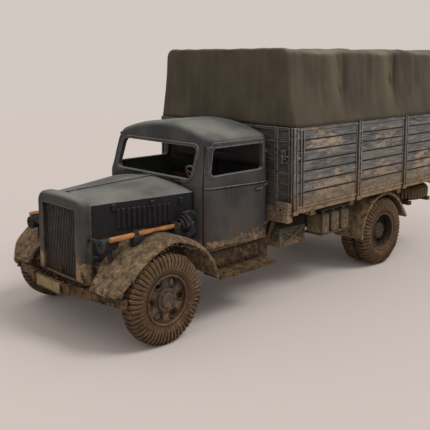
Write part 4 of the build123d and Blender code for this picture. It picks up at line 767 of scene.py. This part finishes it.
def makeTools():
    tool = toolShape
    x, z, rear = tool["x"], tool["z"], frontAxleY + tool["rear"]
    wood, steel, blade = bmesh.new(), bmesh.new(), bmesh.new()
    addToolHandle(wood, steel, 1)
    bmesh.ops.create_grid(blade, x_segments=12, y_segments=12, size=1.0)
    for vert in blade.verts:
        along, across = vert.co.x, vert.co.y
        point = 1 - 0.35 * max(along, 0) ** 3
        dish = (1 - across * across) * tool["bladeDish"] * (0.6 + 0.4 * along)
        back = (along + 1) / 2 * tool["bladeLong"]
        vert.co = Vector((x - dish + 0.15, rear + back, z + across * point * tool["bladeTall"] / 2))
    bmesh.ops.solidify(blade, geom=blade.faces[:], thickness=tool["bladeThick"])
    addRod(blade, (x, rear - 1.6, z), (x - 0.1, rear + 1.4, z), 0.5, 12, 0.22)
    for back, radius, up in tool["coils"]:
        addRing(steel, (x + 0.05, rear + back, z + up), (0, 1, 0.12), radius, tool["coilMm"], 24, 6)
    # wing nut over the coils
    nutX = x + 0.6
    addRod(steel, (nutX, rear + 0.3, z + 1.5), (nutX, rear + 0.3, z + 2.2), 0.18, 8)
    addRod(steel, (nutX, rear - 0.15, z + 2.15), (nutX, rear + 0.75, z + 2.15), 0.13, 6)
    setPiece("shovelHandle", wood, "truck", "tool_handle", ("shovel",))
    setPiece("shovelClamps", steel, "truck", "chassis_black", finish="toolSteel")
    setPiece("shovelBlade", blade, "truck", "chassis_black", finish="toolSteel")

    wood, steel = bmesh.new(), bmesh.new()
    addToolHandle(wood, steel, -1)
    steps, thick, bow = tool["pickSteps"], tool["pickMm"], tool["pickBow"]
    for up in (1, -1):
        for n in range(steps):
            near, far = n / steps, (n + 1) / steps
            addRod(steel, (-x, rear + 0.1 - bow * near * near, z + up * near * tool["pickReach"]),
                   (-x, rear + 0.1 - bow * far * far, z + up * far * tool["pickReach"]),
                   thick * (1 - 0.75 * near), 8, thick * (1 - 0.75 * far), False)
    addBlock(steel, (-x - 0.5, rear - 0.5, z - 0.6), (-x + 0.5, rear + 0.5, z + 0.6), 0.15)
    setPiece("pickHandle", wood, "truck", "tool_handle", ("pick",))
    setPiece("pickHead", steel, "truck", "chassis_black", finish="toolSteel")


makeTools()
print("tools")

# Lamp rims with a stud on top, bumper bolts, plate frame and starting handle guide
noseTrim = {
    "lamp": (11.4, 17.1), "lampRimMm": 1.02, "lampThickMm": 0.14,
    "bumperBolts": (3.9, 4.9, 9.5, 14.0, 16.8), "clampX": 5.6,
    "bumperFlat": 4.2, "bumperSweep": 2.7,  # half width of the straight middle, how far the ends fall back
    "plateRimMm": 0.11, "crankZ": 10.9,
}


def makeNoseTrim():
    nose = noseTrim
    lamps, irons = bmesh.new(), bmesh.new()
    lampX, lampZ = nose["lamp"]
    for side, hand in ((1, "left"), (-1, "right")):
        low, high = corners("headlamp_" + hand)
        centre = Vector((side * lampX, low.y, lampZ))
        addRing(lamps, centre + Vector((0, 0.12, 0)), (0, 1, 0), nose["lampRimMm"], nose["lampThickMm"], 30)
        addStud(lamps, centre + Vector((0, 0.9, 1.12)), (0, 0, 1), 0.2)
    setPiece("lampRims", lamps, "truck", "cab_paint", finish="toolSteel")
    low, high = corners("bumper")
    front, middle = low.y, low.z + 0.75
    flat, sweep = nose["bumperFlat"], nose["bumperSweep"]
    for side in (1, -1):
        for x in nose["bumperBolts"]:
            y = front + max(x - flat, 0) / (high.x - flat) * sweep
            addStud(irons, (side * x, y - 0.02, middle), (0, 1, 0), 0.24, 0.2)
        x = side * nose["clampX"]
        y = front + (nose["clampX"] - flat) / (high.x - flat) * sweep
        addBlock(irons, (x - 0.45, y - 0.22, middle - 0.95), (x + 0.45, y + 0.9, middle + 0.95), 0.1)
    low, high = corners("number_plate")
    for z in (low.z, high.z):
        addRod(irons, (low.x, low.y, z), (high.x, low.y, z), nose["plateRimMm"], 6)
    for x in (low.x, high.x):
        addRod(irons, (x, low.y, low.z), (x, low.y, high.z), nose["plateRimMm"], 6)
    low, high = corners("radiator_shell")
    addRing(irons, (0, low.y + 0.15, nose["crankZ"]), (0, 1, 0), 0.4, 0.13, 18, 6)
    setPiece("bumperIrons", irons, "truck", "chassis_black", finish="trodden")


makeNoseTrim()
print("nose trim")

# Bed fittings: rails, double straps, angle irons, hinges, latches and bolt heads
bedTrim = {
    "grooves": (21.3, 2.05, 6), "grooveMm": 0.13,  # height of the first, step, how many
    "bayMm": 20.27, "postInset": 0.5, "postGap": 0.9,
    "railTall": 0.75, "railProud": 0.14, "ridgeWide": 0.3, "ridgeProud": 0.16,
    "strapPlaces": (2.3, 3.1), "strapBeside": 1.0,  # behind the front edge, and from each middle post
    "boltHeights": (19.2, 22.4, 25.6, 28.8, 32.0), "boltMm": 0.17, "endBolts": (7.7, 15.4), "cornerBolt": 18.9,
    "cornerX": (16.6, 19.52), "cornerHeights": (17.5, 18.9), "socket": (17.9, 18.4),
    "hookInset": 1.2, "hookDrop": (6.1, 5.7),
    "endIrons": ((18.35, 18.72, 0.26), (19.05, 19.4, 0.3)),  # inner edge, outer edge, how proud
    "latchX": (16.5, 18.4), "latchPinX": 17.2, "hinges": (-15.4, -7.7, 0, 7.7, 15.4),
}


def addStrap(mesh, side, y, wide, heights, base, proud):
    # an upright strap that stands out from the side of the bed
    addBlock(mesh, (side * (base - 0.05), y - wide / 2, heights[0]),
             (side * (base + proud), y + wide / 2, heights[1]), 0.05)


def makeBedTrim():
    bed = bedTrim
    low, high = corners("sideboard_left")
    front, rear, top = low.y, high.y, high.z
    face, bottom = high.x - 0.3, low.z
    floorTop = bottom + 1.1
    inset, bay, gap = bed["postInset"], bed["bayMm"], bed["postGap"]
    posts = [front + inset, front + inset + bay + gap, rear - inset - bay - gap, rear - inset]
    firstGroove, pitch, grooves = bed["grooves"]
    straps = [(front + place, 0.26, 0.2) for place in bed["strapPlaces"]]
    beside = bed["strapBeside"]
    straps += [(post + across, 0.2, 0.12) for post in posts[1:3] for across in (-beside, beside)]
    straps.append((rear - bed["strapPlaces"][0], 0.2, 0.12))
    rails = ((top - bed["railTall"], top, 0.06), (floorTop - 0.15, floorTop + 0.35, 0.05))
    mesh, gaps = bmesh.new(), bmesh.new()
    for side in (1, -1):
        for z0, z1, rounding in rails:
            addBlock(mesh, (side * (face - 0.05), front + 0.05, z0),
                     (side * (face + bed["railProud"]), rear - 0.05, z1), rounding)
        for y in posts:
            for across in (-0.35, 0.35):
                addStrap(mesh, side, y + across, bed["ridgeWide"], (bottom + 0.1, top - 0.02), face + 0.3,
                         bed["ridgeProud"])
            for z in bed["boltHeights"]:
                addStud(mesh, (side * (face + 0.3), y, z), (1, 0, 0), bed["boltMm"], 0.2)
            addBlock(mesh, (side * (face + 0.1), y - 0.75, bottom - 0.15),
                     (side * (face + 0.42), y + 0.75, bottom + 0.75), 0.08)
        for y, wide, proud in straps:
            addStrap(mesh, side, y, wide, (floorTop, top - 0.3), face, proud)
        x = side * (face - 0.02)
        for start, end in zip(posts, posts[1:]):
            for n in range(grooves):
                z = firstGroove + n * pitch
                addRod(gaps, (x, start + gap, z), (x, end - gap, z), bed["grooveMm"], 6, softened=False)
        # corner block under the front post, with its strap and socket
        for z in bed["cornerHeights"]:
            addBlock(mesh, (side * bed["cornerX"][0], front - 1.62, z),
                     (side * bed["cornerX"][1], front - 0.2, z + 0.5), 0.08)
        x, z = side * bed["socket"][0], bed["socket"][1]
        addRod(mesh, (x, front - 1.7, z), (x, front - 1.2, z), 0.5, 12)
        addRod(gaps, (x, front - 1.74, z), (x, front - 1.5, z), 0.28, 12)
        # hooks that hold the dropside to the corner posts
        for y in (front + bed["hookInset"], rear - bed["hookInset"]):
            addStrap(mesh, side, y, 1.1, [top - drop for drop in bed["hookDrop"]], face + 0.15, 0.3)
    setPiece("sideIrons", mesh, "truck", "bed_boards", smoothAngle=40)
    # plank grooves: black wash and painted shade
    setPiece("plankGaps", gaps, "truck", "bed_boards", finish="gapWash")

    mesh = bmesh.new()
    for face, out in ((front, -1), (rear, 1)):
        inner = face - 0.02 * out
        for side in (1, -1):
            for x0, x1, proud in bed["endIrons"]:
                addBlock(mesh, (side * x0, inner, floorTop - 1.0), (side * x1, face + proud * out, top - 0.05), 0.05)
            for z in bed["boltHeights"]:
                addStud(mesh, (side * bed["cornerBolt"], face + 0.02 * out, z), (0, 1, 0), bed["boltMm"], 0.18)
                for x in bed["endBolts"]:
                    addStud(mesh, (side * x, face + 0.3 * out, z), (0, 1, 0), bed["boltMm"], 0.2)
            x0, x1 = bed["latchX"]
            addBlock(mesh, (side * x0, face + 0.25 * out, top - 5.75),
                     (side * x1, face + 0.5 * out, top - 5.35), 0.06)
            x, y = side * bed["latchPinX"], face + 0.45 * out
            addRod(mesh, (x, y, top - 5.5), (x, y, top - 7.1), 0.14, 8)
        addBlock(mesh, (-18.3, inner, top - 0.6), (18.3, face + 0.2 * out, top - 0.02), 0.05)
    z = floorTop - 0.4
    for x in bed["hinges"]:
        addRod(mesh, (x - 0.75, rear + 0.45, z), (x + 0.75, rear + 0.45, z), 0.26, 10)
        addBlock(mesh, (x - 0.3, rear + 0.2, floorTop - 0.3), (x + 0.3, rear + 0.5, floorTop + 2.2), 0.06)
    setPiece("endIrons", mesh, "truck", "bed_boards", finish="headboard", smoothAngle=40)


makeBedTrim()
print("bed trim")

# Three pressed cans in their rack, with caps, carrying bars and crossed ribs
canShape = {
    "places": (42.1, 45.6, 49.1), "long": 2.75, "x": (13.1, 17.3), "z": (10.7, 15.0), "rounding": 0.45,
    "capMm": 0.42, "capInset": 0.95, "bars": (0.55, 1.37, 2.2), "ribMm": 0.1,
    "strapMm": 0.12, "rackTop": (15.75, 16.2),
}


def makeCans():
    can = canShape
    (x0, x1), (z0, z1), long = can["x"], can["z"], can["long"]
    cap = x1 - can["capInset"]
    low, high = corners("fuel_cans")
    cans, rack = bmesh.new(), bmesh.new()
    for place in can["places"]:
        y = frontAxleY + place
        middle = y + long / 2
        addBlock(cans, (x0, y, z0), (x1, y + long, z1), can["rounding"])
        for start, end in ((z0 + 0.6, z1 - 0.9), (z1 - 0.9, z0 + 0.6)):
            addRod(cans, (x1 + 0.02, y + 0.5, start), (x1 + 0.02, y + long - 0.5, end), can["ribMm"], 6)
        addRod(cans, (cap, middle, z1 - 0.1), (cap, middle, z1 + 0.55), can["capMm"], 12)
        for across in can["bars"]:
            addBlock(cans, (x0 + 0.5, y + across - 0.1, z1 - 0.05), (x1 - 1.7, y + across + 0.1, z1 + 0.38), 0.08)
        addBlock(rack, (x0 - 0.2, middle - 0.25, z0 + 2.1), (x1 + can["strapMm"], middle + 0.25, z0 + 2.5), 0.05)
    shelfLow, shelfHigh = can["rackTop"]
    addBlock(rack, (x0 - 0.5, low.y, z0 + 1.0), (x0, high.y, high.z), 0.06)
    addBlock(rack, (x0 - 0.4, low.y, shelfLow), (x1, high.y, shelfHigh), 0.08)
    addBlock(rack, (x0 - 0.4, low.y - 0.1, z0 - 0.15), (x1 + 0.1, high.y + 0.1, z0 + 0.25), 0.08)
    for y in (low.y + 0.1, high.y - 0.1):
        addBlock(rack, (x1 - 0.3, y - 0.12, z0), (x1, y + 0.12, shelfHigh), 0.04)
    setPiece("cans", cans, "truck", slotOf["fuel_cans"], ("fuel_cans",), finish="canPaint", smoothAngle=45)
    setPiece("canRack", rack, "truck", "chassis_black")
    # lid line and catches on the stowage box
    low, high = corners("stowage_box")
    box = bmesh.new()
    addBlock(box, (high.x - 4.6, low.y - 0.06, high.z - 0.75), (high.x - 0.16, high.y + 0.06, high.z - 0.6), 0.04)
    for y in (low.y + 1.8, high.y - 1.8):
        addBlock(box, (high.x - 0.3, y - 0.3, high.z - 1.25), (high.x + 0.05, y + 0.3, high.z - 0.3), 0.06)
    setPiece("boxCatches", box, "truck", slotOf["stowage_box"], finish="boxPaint")


makeCans()
print("cans and box")

# Axle straps on the springs and rivets along the rails
frameTrim = {"strapPlaces": (-0.9, 0.9), "strapMm": 0.2, "rivetStep": 4.0, "rivetMm": 0.22}


def makeFrameTrim():
    trim = frameTrim
    mesh = bmesh.new()
    for end in ("front", "rear"):
        low, high = corners(end + "_spring_left")
        middle = (low.y + high.y) / 2
        x0, x1 = low.x - 0.15, high.x + 0.15
        for side in (1, -1):
            for along in trim["strapPlaces"]:
                y = middle + along
                for x in (x0, x1):
                    addRod(mesh, (side * x, y, low.z - 0.5), (side * x, y, high.z - 0.6), trim["strapMm"], 8)
                for z in (high.z - 0.6, low.z - 0.3):
                    addRod(mesh, (side * x0, y, z), (side * x1, y, z), trim["strapMm"], 8)
    low, high = corners("chassis_rail_left")
    rivets = int((high.y - low.y - 2) / trim["rivetStep"])
    for side in (1, -1):
        for n in range(rivets):
            y = low.y + 1.5 + n * trim["rivetStep"]
            for z in (low.z + 0.5, high.z - 0.5):
                addStud(mesh, (side * high.x, y, z), (1, 0, 0), trim["rivetMm"], 0.14)
    setPiece("frameTrim", mesh, "truck", "chassis_black")


makeFrameTrim()
print("frame trim")

# Real crusts of mud where the model carries them thickest
mudShape = {
    "seed": 7, "widest": 18.3,
    # start, end, how far the crumbs stray, how many, and their size, on the left side and mirrored
    "lines": (
        ((12.5, -9.7, 8.7), (17.6, -8.5, 8.8), 0.45, 60, 0.24),
        ((-0.5, -11.3, 8.4), (12.5, -9.7, 8.5), 0.3, 45, 0.18),
        ((10.6, -9.6, 10.2), (15.6, -9.2, 10.4), 0.4, 90, 0.17),
        ((16.2, -8.6, 11.6), (18.0, -6.9, 12.6), 0.35, 40, 0.15),
        ((18.05, -6.9, 12.2), (18.05, -3.0, 15.6), 0.2, 34, 0.17),
        ((18.05, -3.0, 15.6), (18.05, 1.4, 16.9), 0.2, 30, 0.15),
        ((18.05, 1.4, 16.9), (18.05, 8.0, 14.6), 0.2, 40, 0.16),
        ((18.05, 8.0, 14.6), (18.0, 12.2, 9.4), 0.25, 44, 0.2),
        ((18.1, 12.4, 8.7), (18.1, 26.4, 8.7), 0.22, 60, 0.18),
        ((14.1, 13.0, 9.1), (14.1, 26.0, 9.3), 0.4, 50, 0.2),
        ((11.2, 73.8, 9.9), (18.2, 73.8, 9.9), 0.2, 50, 0.24),
        ((11.2, 55.5, 7.7), (18.2, 55.5, 7.7), 0.18, 40, 0.22),
        ((7.4, -9.2, 9.7), (6.6, -9.35, 12.4), 0.4, 24, 0.16),
        ((1.5, -10.4, 8.9), (7.5, -9.7, 9.0), 0.5, 130, 0.3),
        ((2.4, -8.7, 9.15), (6.4, -8.7, 9.25), 0.45, 150, 0.34),
    ),
}


def makeMud():
    toss = random.Random(mudShape["seed"])
    mesh = bmesh.new()
    for start, end, stray, count, size in mudShape["lines"]:
        start, end = Vector(start), Vector(end)
        for side in (1, -1):
            for n in range(count):
                centre = start.lerp(end, toss.random()) + Vector([toss.gauss(0, stray * 0.5) for part in range(3)])
                centre = Vector((side * min(centre.x, mudShape["widest"]), frontAxleY + centre.y, centre.z))
                grown = size * toss.uniform(0.5, 1.3)
                axis = [toss.gauss(0, 1) for part in range(3)]
                turn = Quaternion(axis, toss.uniform(0, 3)).to_matrix().to_4x4()
                squash = Matrix.Diagonal((grown, grown * toss.uniform(0.6, 1.2), grown * toss.uniform(0.4, 0.8), 1))
                place = Matrix.Translation(centre) @ turn @ squash
                bmesh.ops.create_icosphere(mesh, subdivisions=1, radius=1.0, matrix=place)
    setPiece("mudCrust", mesh, "truck", "chassis_black", finish="splashed", smoothAngle=70)


makeMud()
print("mud")

# Camera, floor and light
stageLook = {
    "cameraPlace": (100.23, -109.61, 46.96),  # mm, in the model's own frame
    "yaw": 46.252, "pitch": -7.672, "roll": -0.135,
    "focalPixels": 672.7, "framePixels": 430, "centreDown": 150, "sensorMm": 36,
    "floorColour": "#cfc4be", "backColour": "#d2c9c3", "fadeFrom": 0.2, "fadeTo": 0.8,  # metres from the model
    "worldLight": 0.64, "sunDistance": 0.3,
    # where it stands from the model, strength, and the angle that softens its shadow
    "suns": (("windowSun", (0.8, 0.5, 1.3), 1.3, 24), ("frontSun", (0.55, -1.0, 0.9), 0.3, 60)),
}


def makeStage():
    look = stageLook
    world = bpy.data.worlds.new("studioAir")
    bpy.context.scene.world = world
    world.use_nodes = True
    tree = world.node_tree
    tree.nodes.clear()
    rays = addNode(tree, "ShaderNodeLightPath").outputs
    seen = addNode(tree, "ShaderNodeMath", {0: rays["Is Camera Ray"], 1: rays["Is Glossy Ray"]}, operation="MAXIMUM")
    seen = addNode(tree, "ShaderNodeMath", {0: seen, 1: rays["Is Transmission Ray"]}, operation="MAXIMUM")
    plain = addNode(tree, "ShaderNodeBackground", {"Color": (1, 0.98, 0.96, 1), "Strength": look["worldLight"]})
    back = addNode(tree, "ShaderNodeBackground", {"Color": toLinear(look["backColour"]), "Strength": 1.0})
    mixed = addNode(tree, "ShaderNodeMixShader", {0: seen, 1: plain, 2: back})
    addNode(tree, "ShaderNodeOutputWorld", {"Surface": mixed})

    paper = bpy.data.materials.new("paperBackdrop")  # smooth matt card that fades into the background far off
    paper.use_nodes = True
    tree = paper.node_tree
    tree.nodes.clear()
    card = addNode(tree, "ShaderNodeBsdfPrincipled", {"Base Color": toLinear(look["floorColour"]), "Roughness": 0.9})
    far = addNode(tree, "ShaderNodeEmission", {"Color": toLinear(look["backColour"]), "Strength": 1.0})
    place = addNode(tree, "ShaderNodeTexCoord").outputs["Object"]
    away = addNode(tree, "ShaderNodeVectorMath", {0: place}, operation="LENGTH")
    away = addNode(tree, "ShaderNodeMapRange", {0: away, 1: look["fadeFrom"], 2: look["fadeTo"]},
                   interpolation_type="SMOOTHSTEP")
    rays = addNode(tree, "ShaderNodeLightPath").outputs
    seen = addNode(tree, "ShaderNodeMath", {0: rays["Is Camera Ray"], 1: rays["Is Glossy Ray"]}, operation="MAXIMUM")
    away = addNode(tree, "ShaderNodeMath", {0: away, 1: seen}, operation="MULTIPLY")
    mixed = addNode(tree, "ShaderNodeMixShader", {0: away, 1: card, 2: far})
    addNode(tree, "ShaderNodeOutputMaterial", {"Surface": mixed})
    mesh = bmesh.new()
    bmesh.ops.create_grid(mesh, x_segments=1, y_segments=1, size=6.0)
    data = bpy.data.meshes.new("floor")
    mesh.to_mesh(data)
    mesh.free()
    data.materials.append(paper)
    floor = bpy.data.objects.new("floor", data)
    bpy.context.scene.collection.objects.link(floor)
    floor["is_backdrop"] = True

    for name, place, strength, softness in look["suns"]:
        lamp = bpy.data.lights.new(name, "SUN")
        lamp.energy = strength
        lamp.angle = math.radians(softness)
        holder = bpy.data.objects.new(name, lamp)
        holder.location = Vector(place) * look["sunDistance"]
        holder.rotation_euler = (-Vector(place)).to_track_quat("-Z", "Y").to_euler()
        bpy.context.scene.collection.objects.link(holder)

    yaw, pitch = math.radians(look["yaw"]), math.radians(look["pitch"])
    ahead = Vector((-math.sin(yaw) * math.cos(pitch), math.cos(yaw) * math.cos(pitch), math.sin(pitch)))
    lens = bpy.data.cameras.new("photoCamera")
    lens.sensor_width = look["sensorMm"]
    lens.lens = look["focalPixels"] / look["framePixels"] * look["sensorMm"]
    lens.clip_start, lens.clip_end = 0.005, 20
    lens.shift_y = (look["centreDown"] - look["framePixels"] / 2) / look["framePixels"]
    camera = bpy.data.objects.new("photoCamera", lens)
    camera.location = Vector(look["cameraPlace"]) * mm
    camera.rotation_mode = "QUATERNION"
    camera.rotation_quaternion = ahead.to_track_quat("-Z", "Y") @ Quaternion((0, 0, 1), math.radians(look["roll"]))
    bpy.context.scene.collection.objects.link(camera)
    bpy.context.scene.camera = camera
    bpy.context.scene.view_settings.view_transform = "Standard"


makeStage()
print("stage")

low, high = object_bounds()
